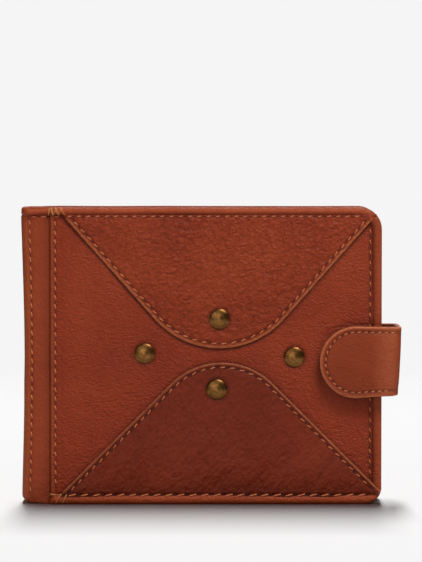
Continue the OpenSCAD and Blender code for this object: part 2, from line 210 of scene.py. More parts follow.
def plate(name, outline, material, height, back, round_r=0.4, step=0.8, ring=0.7, warp=None, edge=0.0,
          shade=None, back_round=0.25, pale=None, keep=None):
    """Leather plate: outline in (u, z), its outer face at -height(u, z), its inner face at depth back.
    Rings follow the outline, so edges and seams stay even; warp bends the result."""
    loop = resample(outline, step)
    centre = loop.mean(0)
    reach = np.hypot(*(loop - centre).T).max()
    offs = [0, round_r * 0.12, round_r * 0.4, round_r, round_r * 1.8]
    rings = [inward(loop, d) for d in offs]
    depth_in = offs[:]
    n = max(3, int(reach / ring))
    base = rings[-1]
    for k in range(1, n):
        rings.append(centre + (base - centre) * (1 - k / n))
        depth_in.append(None)
    pts, y, cut, dark = [], [], [], []
    for k, r in enumerate(rings):
        hh = np.asarray(height(r[:, 0], r[:, 1]), float) * np.ones(len(r))
        d = depth_in[k]
        if d is not None and d < round_r:
            hh = hh - (round_r - math.sqrt(max(round_r ** 2 - (round_r - d) ** 2, 0)))
        pts.append(r)
        y.append(-hh)
        worn = np.full(len(r), edge * (1, 0.95, 0.8, 0.35, 0)[min(k, 4)])
        worn = worn if keep is None else worn * keep(r[:, 0], r[:, 1])
        cut.append(worn if pale is None else np.maximum(worn, pale(r[:, 0], r[:, 1])))
        dark.append(np.zeros(len(r)) if shade is None else np.asarray(shade(r[:, 0], r[:, 1])) * np.ones(len(r)))
    m = len(loop)
    # the wall down to the back face, then the back face
    bk = np.asarray(back(loop[:, 0], loop[:, 1]) if callable(back) else back, float) * np.ones(m)
    wall = [(loop, y[0] * 0.5 + (bk - back_round) * 0.5), (loop, bk - back_round), (inward(loop, back_round), bk)]
    order_pts = [w[0] for w in wall[::-1]] + pts
    order_y = [w[1] for w in wall[::-1]] + y
    order_cut = [np.zeros(m), np.full(m, edge), np.full(m, edge)] + cut
    order_dark = [np.zeros(m)] * 3 + dark
    verts = np.concatenate([np.stack([p[:, 0], yy, p[:, 1]], 1) for p, yy in zip(order_pts, order_y)])
    faces = tube_faces(len(order_pts), m, caps=False)
    cfront = height(np.array([centre[0]]), np.array([centre[1]]))
    cback = back(np.array([centre[0]]), np.array([centre[1]])) if callable(back) else back
    verts = np.vstack([verts, [[centre[0], -float(np.ravel(cfront)[0]), centre[1]],
                               [centre[0], float(np.ravel(cback)[0]), centre[1]]]])
    top, low = len(verts) - 2, len(verts) - 1
    last = (len(order_pts) - 1) * m
    faces += [(last + i, last + (i + 1) % m, top) for i in range(m)]
    # a flat back face is one fan; a bent or uneven one needs inner rings too
    if warp is None and not callable(back):
        faces += [((i + 1) % m, i, low) for i in range(m)]
        cutv = np.concatenate(order_cut + [[0, 0]])
        darkv = np.concatenate(order_dark + [[0, 0]])
    else:
        extra, start, prev, inner = [], len(verts), 0, order_pts[0]
        for k in range(1, n):
            p = centre + (inner - centre) * (1 - k / n)
            bb = np.asarray(back(p[:, 0], p[:, 1]) if callable(back) else back, float) * np.ones(m)
            extra.append(np.stack([p[:, 0], bb, p[:, 1]], 1))
            a, b = prev, start + (k - 1) * m
            for i in range(m):
                j = (i + 1) % m
                faces.append((a + j, a + i, b + i, b + j))
            prev = b
        verts = np.vstack([verts] + extra)
        faces += [(prev + (i + 1) % m, prev + i, low) for i in range(m)]
        cutv = np.concatenate(order_cut + [np.zeros(2 + (n - 1) * m)])
        darkv = np.concatenate(order_dark + [np.zeros(2 + (n - 1) * m)])
        verts = verts if warp is None else warp(verts)
    return new_object(name, verts, faces, material, cutv, darkv)


def stitches(name, points, normals, material, pitch=PITCH, length=1.95, r=0.21, slant=0.0, lift=0.1, start=0.5):
    """Separate thread stitches along a path of 3-D points with outward normals, each dipping into its holes."""
    p, nrm = np.asarray(points, float), np.asarray(normals, float)
    s = np.concatenate([[0], np.cumsum(np.linalg.norm(np.diff(p, axis=0), axis=1))])
    at_path = lambda at, values: np.array([np.interp(at, s, values[:, i]) for i in range(3)])

    def axes(at):
        """Place on the path, outward normal, direction along the seam and direction across it."""
        n = at_path(at, nrm)
        n /= np.linalg.norm(n)
        t = at_path(at + 0.2, p) - at_path(at - 0.2, p)
        t /= max(np.linalg.norm(t), 1e-9)
        return at_path(at, p), n, t, np.cross(n, t)

    verts, faces, hole_verts, hole_faces = [], [], [], []
    sides, rows, rim = 8, 7, 10
    for k in range(int((s[-1] - start) // pitch)):
        mid = start + (k + 0.5) * pitch
        jitter = rng.normal(0, 0.05)
        faces += tube_faces(rows, sides, len(verts))
        for q in range(rows):
            f = q / (rows - 1) - 0.5
            c, n, t, side = axes(mid + f * length + jitter)
            c = c + n * (lift - 0.55 * abs(2 * f) ** 4) + side * slant * f * 2
            thin = r * (1 - 0.35 * abs(2 * q / (rows - 1) - 1) ** 3)
            for ang in (2 * math.pi * a / sides for a in range(sides)):
                verts.append(c + side * thin * 1.08 * math.cos(ang) + n * thin * 0.85 * math.sin(ang))
        # a dark disc at each needle hole between stitches: painted shade inside the hole
        c, n, t, side = axes(mid + pitch / 2)
        base = len(hole_verts)
        hole_verts.append(c + n * 0.05)
        for radius, up in ((0.22, 0.04), (0.36, -0.12)):
            for ang in (2 * math.pi * a / rim for a in range(rim)):
                hole_verts.append(c + n * up + t * radius * 1.25 * math.cos(ang) + side * radius * 0.85 * math.sin(ang))
        for a in range(rim):
            b = (a + 1) % rim
            inner, outer = base + 1, base + 1 + rim
            hole_faces += [(base, inner + a, inner + b), (inner + a, outer + a, outer + b, inner + b)]
    threads = new_object(name, verts, faces, material)
    return threads, new_object(name + "_holes", hole_verts, hole_faces, MAT["hole"])


def fit(o, body, slot, *nodes):
    """Puts a piece on its body and takes the place of CAD nodes; slot is not used."""
    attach(o, body)
    if nodes:
        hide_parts(*nodes)
    return o


def sew(name, points, normals, body, **kw):
    """Stitches and their needle holes, riding on one body."""
    for piece in stitches(name, points, normals, MAT["thread"], **kw):
        fit(piece, body, "thread")


# ---------------------------------------------------------------- materials
def srgb(r, g, b):
    f = lambda c: (c / 255 / 12.92) if c <= 10 else ((c / 255 + 0.055) / 1.055) ** 2.4
    return (f(r), f(g), f(b), 1.0)


class Nodes:
    """Short hand for building a node tree."""

    def __init__(self, name, cad=False):
        self.m = bpy.data.materials.new(name)
        self.m.use_nodes = True
        self.t = self.m.node_tree
        self.b = self.t.nodes["Principled BSDF"]
        if cad:
            at = self.t.nodes.new("ShaderNodeTexCoord")
            scale = self.add("ShaderNodeVectorMath", operation="MULTIPLY")
            scale.inputs[1].default_value = (1 / MM,) * 3
            self.link(at.outputs["Object"], scale.inputs[0])
            self.source = scale.outputs[0]
        else:
            rest = self.t.nodes.new("ShaderNodeAttribute")
            rest.attribute_name = "rest"
            self.source = rest.outputs["Vector"]

    def add(self, kind, **values):
        n = self.t.nodes.new(kind)
        for k, v in values.items():
            if k in n.inputs:
                n.inputs[k].default_value = v
            else:
                setattr(n, k, v)
        return n

    def link(self, a, b):
        self.t.links.new(a, b)

    def coords(self, scale, turn=0.0):
        """Rest position in millimetres, turned in the leaf's plane, times scale."""
        n = self.add("ShaderNodeVectorMath", operation="MULTIPLY")
        source = self.source
        if turn:
            r = self.add("ShaderNodeVectorRotate", rotation_type="Y_AXIS", Angle=math.radians(turn))
            self.link(source, r.inputs["Vector"])
            source = r.outputs[0]
        self.link(source, n.inputs[0])
        n.inputs[1].default_value = scale if isinstance(scale, tuple) else (scale,) * 3
        return n.outputs[0]

    def noise(self, scale, detail=3.0, rough=0.55, distortion=0.0, turn=0.0):
        n = self.add("ShaderNodeTexNoise", Detail=detail, Roughness=rough, Distortion=distortion, Scale=1.0)
        self.link(self.coords(scale, turn), n.inputs["Vector"])
        return n.outputs["Fac"]

    def plus(self, a, b):
        return self.math("ADD", a, b)

    def mul(self, a, b, clamp=False):
        return self.math("MULTIPLY", a, b, clamp)

    def set(self, **values):
        """Settings of the shader, with _ for a space in their names."""
        for name, v in values.items():
            self.b.inputs[name.replace("_", " ")].default_value = v

    def shade(self, **sources):
        """What feeds the shader, with _ for a space in the names."""
        for name, v in sources.items():
            self.link(v, self.b.inputs[name.replace("_", " ")])

    def math(self, op, a, b=None, clamp=False):
        n = self.add("ShaderNodeMath", operation=op, use_clamp=clamp)
        for i, v in enumerate((a, b)):
            if v is None:
                continue
            if isinstance(v, (int, float)):
                n.inputs[i].default_value = v
            else:
                self.link(v, n.inputs[i])
        return n.outputs[0]

    def ramp(self, fac, stops):
        n = self.add("ShaderNodeValToRGB")
        e = n.color_ramp.elements
        while len(e) < len(stops):
            e.new(0.5)
        for i, (pos, col) in enumerate(stops):
            e[i].position = pos
            e[i].color = col if isinstance(col, tuple) else (col, col, col, 1)
        self.link(fac, n.inputs["Fac"])
        return n.outputs["Color"]

    def mix(self, fac, a, b, blend="MIX"):
        n = self.add("ShaderNodeMix", data_type="RGBA", blend_type=blend)
        for s, v in ((0, fac), (6, a), (7, b)):
            if isinstance(v, (int, float, tuple)):
                n.inputs[s].default_value = v
            else:
                self.link(v, n.inputs[s])
        return n.outputs[2]

    def attr(self, name):
        n = self.t.nodes.new("ShaderNodeAttribute")
        n.attribute_name = name
        return n.outputs["Fac"]

    def bump(self, height, strength, distance, base=None):
        n = self.add("ShaderNodeBump", Strength=strength, Distance=distance)
        self.link(height, n.inputs["Height"])
        if base is not None:
            self.link(base, n.inputs["Normal"])
        return n.outputs["Normal"]


def leather(name, light, mid, deep, edge, grain=1.0, cell=1.0, turn=0.0, stretch=1.0, wrinkle=0.5, rough=0.46,
            spec=0.15, mottle=0.6, soft=0.25, folds=0.0, cad=False):
    """Pebbled leather: rounded grains, soft wrinkles along one direction, slight mottling, paler cut edges."""
    k = Nodes(name, cad)
    warp = k.add("ShaderNodeTexNoise", Scale=1.0, Detail=2.0)
    k.link(k.coords(0.5), warp.inputs["Vector"])

    def grains(size, sway):
        shift = k.add("ShaderNodeVectorMath", operation="MULTIPLY_ADD")
        k.link(warp.outputs["Color"], shift.inputs[0])
        shift.inputs[1].default_value = (sway, sway, sway)
        k.link(k.coords((size / stretch, size, size), turn), shift.inputs[2])
        v = k.add("ShaderNodeTexVoronoi", feature="SMOOTH_F1", Scale=1.0, Smoothness=0.4)
        k.link(shift.outputs[0], v.inputs["Vector"])
        return k.math("SUBTRACT", 1.0, v.outputs["Distance"])

    big, small = grains(cell, 1.5), grains(cell * 2.2, 2.0)
    fine = k.noise(5.0, 3.0, 0.6)
    flow = k.noise((cell * 0.30 / stretch, cell * 0.5, cell * 0.62), 3.0, 0.5, 0.5, turn)
    off_line = k.mul(k.math("ABSOLUTE", k.math("SUBTRACT", flow, 0.5)), 7.0, True)
    ridge = k.math("SUBTRACT", 1.0, off_line, True)
    h = k.plus(k.mul(big, 0.5), k.mul(small, soft))
    h = k.plus(h, k.mul(ridge, 0.35 * wrinkle))
    h = k.plus(h, k.mul(fine, 0.08))
    under = k.bump(k.noise(0.3, 3.0, 0.55), 0.3, 0.001)
    if folds:  # long soft creases
        wave = k.noise((0.04, 0.16, 0.17), 2.0, 0.5, 0.4, turn)
        crease = k.mul(k.math("ABSOLUTE", k.math("SUBTRACT", wave, 0.5)), 6.0, True)
        under = k.bump(crease, folds, 0.0014, under)
    large, medium = k.noise(0.035, 2.0, 0.5), k.noise(0.3, 3.0, 0.55)
    tone = k.plus(k.mul(large, 0.6 * mottle), k.mul(medium, 0.15 * mottle))
    tone = k.plus(tone, 0.5 - 0.375 * mottle)
    col = k.ramp(tone, [(0.36, deep), (0.5, mid), (0.64, light)])
    mid_h = 0.36 + 0.5 * soft + 0.14 * wrinkle
    crest = k.ramp(h, [(mid_h + 0.02, 0.0), (mid_h + 0.16, 1.0)])
    hollow = k.ramp(h, [(mid_h - 0.26, 1.0), (mid_h - 0.02, 0.0)])
    col = k.mix(k.mul(crest, 0.55 * grain), col, light)
    col = k.mix(k.mul(hollow, 0.35 * grain), col, tuple(c * 0.85 for c in deep[:3]) + (1,))
    # the 'dark' attribute mixes in a near-black brown, mostly painted shade in seams, creases and under edges
    painted_shade_colour = (deep[0] * 0.26, deep[1] * 0.17, deep[2] * 0.12, 1)
    col = k.mix(k.mul(k.attr("dark"), 1.0, True), col, painted_shade_colour)
    wear = k.mul(k.attr("cut"), k.ramp(k.noise(0.9, 3.0), [(0.3, 0.6), (0.6, 1.0)]))
    col = k.mix(wear, col, edge)
    k.shade(Base_Color=col)
    k.shade(Normal=k.bump(h, min(1.0, 1.2 * grain), 0.0009, under))
    k.shade(Roughness=k.plus(rough - 0.05, k.mul(fine, 0.16)))
    k.set(Specular_IOR_Level=spec)
    return k.m


def cloth(name, a, b, pitch=0.45):
    """Fine plain weave."""
    k = Nodes(name)
    sep = k.add("ShaderNodeSeparateXYZ")
    k.link(k.source, sep.inputs[0])
    wave = lambda axis, f: k.math("SINE", k.mul(sep.outputs[axis], f))
    w = k.mul(wave("X", 2 * math.pi / pitch), wave("Z", 2 * math.pi / pitch))
    fac = k.plus(k.mul(w, 0.3), k.noise(0.8, 4.0))
    k.shade(Base_Color=k.ramp(fac, [(0.3, a), (0.75, b)]))
    k.shade(Normal=k.bump(w, 0.4, 0.0001))
    k.set(Roughness=0.85, Specular_IOR_Level=0.2)
    return k.m


def thread(name, a, b):
    """Waxed thread with a fine twist."""
    k = Nodes(name)
    n = k.noise(2.2, 4.0, 0.6)
    twist = k.math("SINE", k.mul(k.noise((5, 5, 5), 1.0), 30.0))
    k.shade(Base_Color=k.ramp(n, [(0.35, a), (0.65, b)]))
    k.shade(Normal=k.bump(twist, 0.3, 0.00008))
    k.set(Roughness=0.6, Specular_IOR_Level=0.3)
    return k.m


def metal(name, light, dark_c, rough=0.34, patina_and_shade_strength=1.0, cad=False):
    """Aged metal, darker where its 'dark' attribute is high: on the rivet domes that is patina at the rim and painted
    shade down the sides, leaving the top bright.
    """
    k = Nodes(name, cad)
    n = k.noise(0.9, 5.0, 0.65)
    scratch = k.noise((6, 1.2, 6), 3.0)
    fac = k.plus(k.mul(n, 0.7), k.mul(scratch, 0.3))
    col = k.ramp(fac, [(0.3, dark_c), (0.68, light)])
    col = k.mix(k.mul(k.attr("dark"), patina_and_shade_strength, True), col, tuple(c * 0.25 for c in dark_c[:3]) + (1,))
    k.shade(Base_Color=col)
    k.shade(Roughness=k.plus(rough, k.mul(scratch, 0.16)))
    k.shade(Normal=k.bump(fac, 0.3, 0.0002))
    k.set(Metallic=1.0)
    return k.m


def plain(name, colour, rough, alpha=1.0, vary=0.12, cad=False):
    """One colour with faint clouding."""
    k = Nodes(name, cad)
    n = k.noise(0.5, 3.0)
    a = tuple(c * (1 - vary) for c in colour[:3]) + (1,)
    k.shade(Base_Color=k.ramp(n, [(0.35, a), (0.65, colour)]))
    k.set(Roughness=rough, Alpha=alpha)
    return k.m


# light, mid and deep tones of each leather, then the paler colour of its cut edges
EDGE = srgb(176, 92, 50)
RIM = srgb(204, 116, 76)
INNER = srgb(118, 52, 30), srgb(100, 42, 22), srgb(80, 32, 16), srgb(150, 86, 56)
MAT = {
    "main": leather("leather_main", srgb(152, 60, 30), srgb(134, 47, 20), srgb(114, 37, 14), EDGE,
                    0.52, 1.4, 6, 1.4, 0.45),
    "roll": leather("leather_roll", srgb(166, 74, 40), srgb(150, 62, 30), srgb(128, 48, 21), EDGE,
                    0.35, 1.3, 0, 1.3, 0.4),
    "upper": leather("leather_upper", srgb(152, 62, 31), srgb(133, 48, 21), srgb(112, 37, 14),
                     srgb(198, 116, 68), 0.78, 0.8, 28, 1.2, 0.55, soft=0.2),
    # the lower overlay's leather is a darker copy of the upper's: painted shade for the lower half of the face
    "lower": leather("leather_lower_painted_shade", srgb(126, 46, 20), srgb(111, 36, 13), srgb(92, 28, 9),
                     srgb(158, 92, 58), 0.42, 0.9, 58, 1.35, 0.5, soft=0.16, folds=0.22),
    "spine": leather("leather_spine", srgb(158, 70, 37), srgb(142, 57, 28), srgb(122, 45, 21), EDGE,
                     0.3, 1.5, 85, 1.3, 0.3),
    "strap": leather("leather_strap", srgb(146, 62, 31), srgb(128, 50, 21), srgb(112, 41, 17), RIM,
                     0.3, 1.5, 0, 1.2, 0.3),
    "inner": leather("leather_inner", *INNER, 0.4, 1.4, rough=0.6),
    "inner_cad": leather("leather_inner_edging", *INNER, 0.4, 1.4, rough=0.6, cad=True),
    "lining": cloth("woven_lining", srgb(48, 30, 24), srgb(72, 48, 38)),
    "board": plain("stiff_board", srgb(176, 152, 118), 0.9, cad=True),
    "thread": thread("waxed_thread", srgb(172, 86, 48), srgb(206, 122, 76)),
    "tack": thread("tack_thread", srgb(160, 92, 48), srgb(204, 136, 80)),
    # dark discs for the needle holes: painted shade
    "hole": plain("needle_hole_painted_shade", srgb(62, 18, 5), 0.9),
    "brass": metal("aged_brass", srgb(166, 116, 62), srgb(96, 60, 28), 0.24),
    "snap": metal("snap_metal", srgb(190, 156, 96), srgb(130, 98, 52), 0.28, 0.6, cad=True),
    "window": plain("clear_window", srgb(226, 232, 234), 0.12, 0.3, 0.03),
}

# ---------------------------------------------------------------- seams and shapes
EMX, EMZ = 0.5496 * W, 0.502 * H  # middle of the rivet diamond
UP_TIP, UP_R, UP_A = 0.5263 * H, 27.6, 48.5  # nose height, nose radius and slope of each overlay
LO_TIP, LO_R, LO_A = 0.4726 * H + 0.5, 23.0, 45.0
LO_X = EMX + 0.8
RIVET_LO, RIVET_HI = span("rivet_caps", 0)
CAP_R = 3.3
# x, z, and whether the rivet sits on an overlay; the photo's four are not in an exact diamond
RIVETS = [(RIVET_LO + CAP_R, EMZ + 0.5, False), (RIVET_HI - CAP_R, EMZ - 0.6, False),
          (EMX, EMZ + 11.6, True), (EMX - 0.9, EMZ - 10.9, True)]
TOP_SEAM, LOW_SEAM = H - 2.9, 3.0
RIGHT_SEAM, LIP_SEAM, SPINE_SEAM = W - 3.7, BAND + 1.6, 2.5


def vee_path(tip, r, angle, inset, cx, up=True, reach=60):
    """Points along a round-nosed V, from its left end to its right end."""
    q = r - inset
    a = math.radians(angle)
    cz = tip + r
    left = [(cx - q * math.sin(a) - reach * math.cos(a), cz - q * math.cos(a) + reach * math.sin(a))]
    nose = [(cx + q * math.sin(t), cz - q * math.cos(t)) for t in np.linspace(-a, a, 41)]
    right = [(cx + q * math.sin(a) + reach * math.cos(a), cz - q * math.cos(a) + reach * math.sin(a))]
    pts = np.array(left + nose + right)
    if not up:
        pts[:, 1] = 2 * tip - pts[:, 1]
    return pts


def clip_path(path, x0, x1, z0, z1):
    p = resample(path, 0.25, closed=False)
    keep = (p[:, 0] > x0) & (p[:, 0] < x1) & (p[:, 1] > z0) & (p[:, 1] < z1)
    return p[keep]


UP_SEAM = clip_path(vee_path(UP_TIP, UP_R, UP_A, 1.5, EMX), LIP_SEAM + 1, RIGHT_SEAM, 0, TOP_SEAM - 0.6)
LO_SEAM = clip_path(vee_path(LO_TIP, LO_R, LO_A, 1.5, LO_X, False), LIP_SEAM + 1, RIGHT_SEAM + 0.4, LOW_SEAM + 0.6, H)
UP_EDGE = clip_path(vee_path(UP_TIP, UP_R, UP_A, 0, EMX), BAND + 2.4, W - 1.2, 0, H - 2.3)
LO_EDGE = clip_path(vee_path(LO_TIP, LO_R, LO_A, 0, LO_X, False), BAND + 1.2, W - 0.25, 1.9, H)


def dents(x, z):
    """Hollows pressed by the rivets."""
    out = 0
    for rx, rz, _ in RIVETS:
        r = np.hypot(x - rx, z - rz)
        out = out + 0.55 * bell(r, 3.3, 4) + 0.3 * bell(r, 6.5)
    return out


def bead(z, at, half, rise):
    """Round ridge along a line."""
    t = np.clip(1 - ((z - at) / half) ** 2, 0, 1)
    return rise * np.sqrt(t)


def cover_height(x, z, face=True):
    """Cover leather: pillowed between its seams, with a grooved edge; the front one is also pressed in."""
    s = np.minimum(np.minimum(np.abs(x - RIGHT_SEAM), np.abs(x - LIP_SEAM)),
                   np.minimum(np.abs(z - TOP_SEAM), np.abs(z - LOW_SEAM)))
    h = 0.45 * (1 - bell(s, 5.0)) - 0.24 * bell(s, 0.6)
    h = h + 0.12 * vnoise(x, z, 14, 3) + 0.05 * vnoise(x, z, 5, 4)
    ends = smooth(BAND - 0.4, BAND + 2, x) * smooth(W - 3.0, W - 7.0, x)
    h = h - 0.3 * bell(z - (H - 2.45), 0.28) * ends
    h = h + 0.32 * bell(x - BAND - 0.45, 0.5) - 0.18 * bell(x - BAND - 3.0, 0.8)
    if face:
        h = h - dents(x, z) - 0.62 * bell(np.hypot(x - STUD_X, z - STRAP_Z), 5.5, 4)
        for edge_path in (UP_EDGE, LO_EDGE):
            d = seg_dist(x, z, edge_path[::8])
            h = h - 0.12 * bell(d, 1.2)
    return h


def overlay_height(seam):
    """Overlay leather: a thickness above the cover, pillowed away from its seam."""
    def f(x, z):
        d = seg_dist(x, z, seam[::6])
        s = np.minimum(d, np.minimum(np.abs(z - TOP_SEAM), np.abs(z - LOW_SEAM)))
        h = 1.0 + 0.4 * (1 - bell(s, 5.0)) - 0.26 * bell(s, 0.6)
        h = h - dents(x, z) + 0.12 * vnoise(x, z, 11, 8) + 0.07 * vnoise(x, z, 4, 9)
        side = smooth(W - 0.2, W - 4, x)
        return h * side + 1.1 * (1 - side)
    return f


def groove_shade(paths, width=0.55, amount=0.35):
    """Painted shade: darker leather along seams and edges."""
    def f(x, z):
        v = 0
        for p in paths:
            v = np.maximum(v, amount * bell(seg_dist(x, z, p), width))
        return v
    return f


def straight(x0, z0, x1, z1):
    return np.array([(x0, z0), (x1, z1)], float)


def rivet_shade(x, z):
    """Painted shade in a ring round each rivet, where it presses into the leather."""
    v = 0
    for rx, rz, _ in RIVETS:
        r = np.hypot(x - rx, z - rz)
        v = np.maximum(v, 0.5 * bell(r - 3.2, 0.9) * (r > 2.0))
    return v


def cover_shade(x, z):
    """Painted shade in the seam grooves, painted shadow under the overlays' edges, under the top bead and round the
    strap's tab, a darker band between the lip and its seam, and painted shade round each rivet.
    """
    base = np.maximum(groove_shade([straight(RIGHT_SEAM, 5, RIGHT_SEAM, H - 5)], 0.5, 0.65)(x, z),
                      groove_shade([straight(LIP_SEAM, 2, LIP_SEAM, H - 3)])(x, z))
    under = np.maximum(0.75 * bell(seg_dist(x, z, UP_EDGE[::8]), 0.9),
                       0.5 * bell(seg_dist(x, z, LO_EDGE[::8]), 0.8))
    line = 0.55 * bell(z - (H - 2.4), 0.3)
    lip = 0.16 * smooth(BAND + 0.7, BAND + 1.1, x) * smooth(BAND + 2.6, BAND + 1.8, x)
    tab = np.hypot(np.minimum(x - TAB_X - STRAP_H / 2, 0), z - STRAP_Z + 0.8) - STRAP_H / 2
    tab_shadow = 0.3 * bell(np.maximum(tab, 0), 2.2) * (x < W - 3)
    return np.maximum.reduce([base, under, lip, tab_shadow, rivet_shade(x, z), line])


def on_front(path, height, lift=0.0):
    """3-D points and normals of a path on the front face."""
    p = np.asarray(path, float)
    h = height(p[:, 0], p[:, 1])
    pts = np.stack([p[:, 0], -(h + lift), p[:, 1]], 1)
    return pts, np.tile([0.0, -1.0, 0.0], (len(p), 1))


def line_pts(x0, z0, x1, z1, n=120):
    t = np.linspace(0, 1, n)
    return np.stack([x0 + (x1 - x0) * t, z0 + (z1 - z0) * t], 1)


# ---------------------------------------------------------------- front leaf
cover_outline = rounded(BAND, W, 0, H, (0.6, CORNER_LOW, CORNER_TOP, 0.6))
front_face = plate("front_cover_leather", cover_outline, MAT["main"], cover_height, 2.0,
                   round_r=0.9, step=0.75, ring=0.6, edge=0.42, shade=cover_shade)
fit(front_face, "front_leaf", "leather_brown", "front_cover", "front_seams")


def overlay_shade(seam, low, amount):
    """Painted shade along an overlay's own seam, its edge seam and round its rivet; the lower overlay also gets painted
    shade darkening towards the bottom.
    """
    grooves = groove_shade([seam[::6], straight(13, low, W - 5, low)], 0.45, amount)
    return lambda x, z: np.maximum(grooves(x, z) + 0.28 * smooth(8, 3, z) * (low == LOW_SEAM), rivet_shade(x, z))


up_outline = np.vstack([UP_EDGE, [(UP_EDGE[-1][0] + 0.2, H - 2.25), (UP_EDGE[0][0] - 0.2, H - 2.25)]])
up_h = overlay_height(UP_SEAM)
o = plate("upper_overlay_leather", up_outline, MAT["upper"], up_h, -0.05, round_r=0.6, step=0.6, ring=0.5, edge=0.9,
          shade=overlay_shade(UP_SEAM, TOP_SEAM, 0.5), keep=lambda x, z: smooth(H - 3.0, H - 4.4, z))
fit(o, "front_leaf", "leather_brown", "upper_overlay", "overlay_seams")
lo_outline = np.vstack([LO_EDGE[::-1], [(LO_EDGE[0][0] + 0.2, 1.9), (W - CORNER_LOW, 1.9), (W - 1.3, 3.0)]])
lo_h = overlay_height(LO_SEAM)
o = plate("lower_overlay_leather", lo_outline, MAT["lower"], lo_h, -0.05, round_r=0.5, step=0.6, ring=0.5, edge=0.9,
          shade=overlay_shade(LO_SEAM, LOW_SEAM, 0.6), keep=lambda x, z: np.maximum(smooth(3.0, 4.4, z), x > W - 5))
fit(o, "front_leaf", "leather_dark", "lower_overlay")


def sew_front(name, path, height, **kw):
    sew(name, *on_front(path, height), "front_leaf", **kw)


sew_front("upper_overlay_stitches", UP_SEAM, up_h, slant=0.2, pitch=3.15, length=2.1, r=0.19)
sew_front("lower_overlay_stitches", LO_SEAM, lo_h, slant=0.2, pitch=3.15, length=2.1, r=0.18)
sew_front("top_edge_stitches", line_pts(13.5, TOP_SEAM, W - 5.5, TOP_SEAM), up_h, slant=0.16, r=0.17, lift=0.0)
sew_front("bottom_edge_stitches", line_pts(LIP_SEAM + 3, LOW_SEAM, W - 4.2, LOW_SEAM), lo_h,
          slant=0.36, lift=0.16, r=0.25, pitch=3.85, length=3.0)
sew_front("right_edge_stitches", line_pts(RIGHT_SEAM, H - 5.5, RIGHT_SEAM, 7.8), cover_height,
          slant=0.22, pitch=3.35, length=1.75, r=0.18)
sew_front("left_edge_stitches", line_pts(LIP_SEAM, H - 3.2, LIP_SEAM, 3.2), cover_height, slant=0.26)


def dome(name, profile, ring_patina_and_shade, centre):
    """Brass dome turned about Y; profile is (radius, distance out to the front), with patina and painted shade per
    ring.
    """
    seg = 40
    v, dark = [], []
    for (r, out), g in zip(profile, ring_patina_and_shade):
        for t in (2 * math.pi * a / seg for a in range(seg)):
            v.append((centre[0] + r * math.cos(t), centre[1] - out, centre[2] + r * math.sin(t)))
            dark.append(g)
    o = new_object(name, v, tube_faces(len(profile), seg, flip=True), MAT["brass"], dark=dark)
    return fit(o, "front_leaf", "antique_brass")


DOME = [(0.9, -1.2), (3.0, -0.6), (3.4, -0.15), (3.48, 0.05), (3.48, 0.22), (3.36, 0.46), (3.08, 0.66), (2.65, 0.84),
        (2.1, 1.02), (1.45, 1.2), (0.8, 1.34), (0.35, 1.42), (0.08, 1.45)]
# per ring: patina at the rim, painted shade down the sloping sides with lighter rings as painted highlights, and no
# darkening at the top
DOME_PATINA_AND_SHADE = [1, 1, 1, 0.95, 0.75, 0.6, 0.5, 0.35, 0.45, 0.15, 0.3, 0.0, 0.0]
for i, (rx, rz, on_overlay) in enumerate(RIVETS):
    surface = cover_height if not on_overlay else up_h if rz > EMZ else lo_h
    face_y = -surface(np.array([rx]), np.array([rz]))[0]
    dome(f"rivet_dome_{i + 1}", DOME, DOME_PATINA_AND_SHADE, (rx, face_y + 0.1, rz))
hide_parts("rivet_caps")

# ---------------------------------------------------------------- bent leather: spine and strap
def bent_path(x_start, x_end, x_out, y0, y1, r):
    """Leather bent in a U: from x_start along y0, round x_out with radius r, back along y1 to x_end.
    Returns a function from distance and depth to a point, and the whole length."""
    side = 1 if x_out > x_start else -1
    cx = x_out - side * r
    pts, nrm = [], []

    def run(start, end, normal):
        for t in np.linspace(0, 1, 24):
            pts.append((start[0] + (end[0] - start[0]) * t, start[1] + (end[1] - start[1]) * t))
            nrm.append(normal)

    def bend(cy, a0, a1):
        if side < 0:
            a0, a1 = 180 - a0, 180 - a1
        for t in np.radians(np.linspace(a0, a1, 14)):
            pts.append((cx + r * math.cos(t), cy + r * math.sin(t)))
            nrm.append((math.cos(t), math.sin(t)))

    run((x_start, y0), (cx, y0), (0, -1))
    bend(y0 + r, -90, 0)
    run((x_out, y0 + r), (x_out, y1 - r), (side, 0))
    bend(y1 - r, 0, 90)
    run((cx, y1), (x_end, y1), (0, 1))
    p, n = np.array(pts), np.array(nrm)
    s = path_length(p)
    keep = np.concatenate([[True], np.diff(s) > 1e-6])
    p, n, s = p[keep], n[keep], s[keep]

    def at(dist, out):
        x, y = np.interp(dist, s, p[:, 0]), np.interp(dist, s, p[:, 1])
        nx, ny = np.interp(dist, s, n[:, 0]), np.interp(dist, s, n[:, 1])
        q = np.hypot(nx, ny)
        return x + nx / q * out, y + ny / q * out
    return at, s[-1]


def world_at(x, y, z=0.047):
    return (x + X0) * MM, (y + Y0) * MM, z


SR = 2.5
WING = BAND + 1.0
SY0, SY1 = 1.0, D - 1.0
FOLD = 3.2  # distance from a spine fold's corner to the start and end points given for it
spine_at, spine_len = bent_path(WING, WING, 0.0, SY0, SY1, SR)


def bow(x, z):
    """How far the spine's edge bows in: slightly at mid height, and where it rounds over at either end."""
    q = np.clip(z / H, 0, 1)
    low = 4.6 * (1 - np.sqrt(np.clip(1 - np.clip(1 - z / 2.8, 0, 1) ** 2, 0, 1)))
    top = bead(z, H - 1.2, 1.3, 0.85)
    return (0.1 * (1 - q) + 0.95 * np.sin(np.pi * q) ** 1.2 + low + top) * (1 - smooth(0, 9, x))


def spine_warp(v):
    x, y = spine_at(v[:, 0], -v[:, 1])
    return np.stack([x + bow(x, v[:, 2]), y, v[:, 2]], 1)


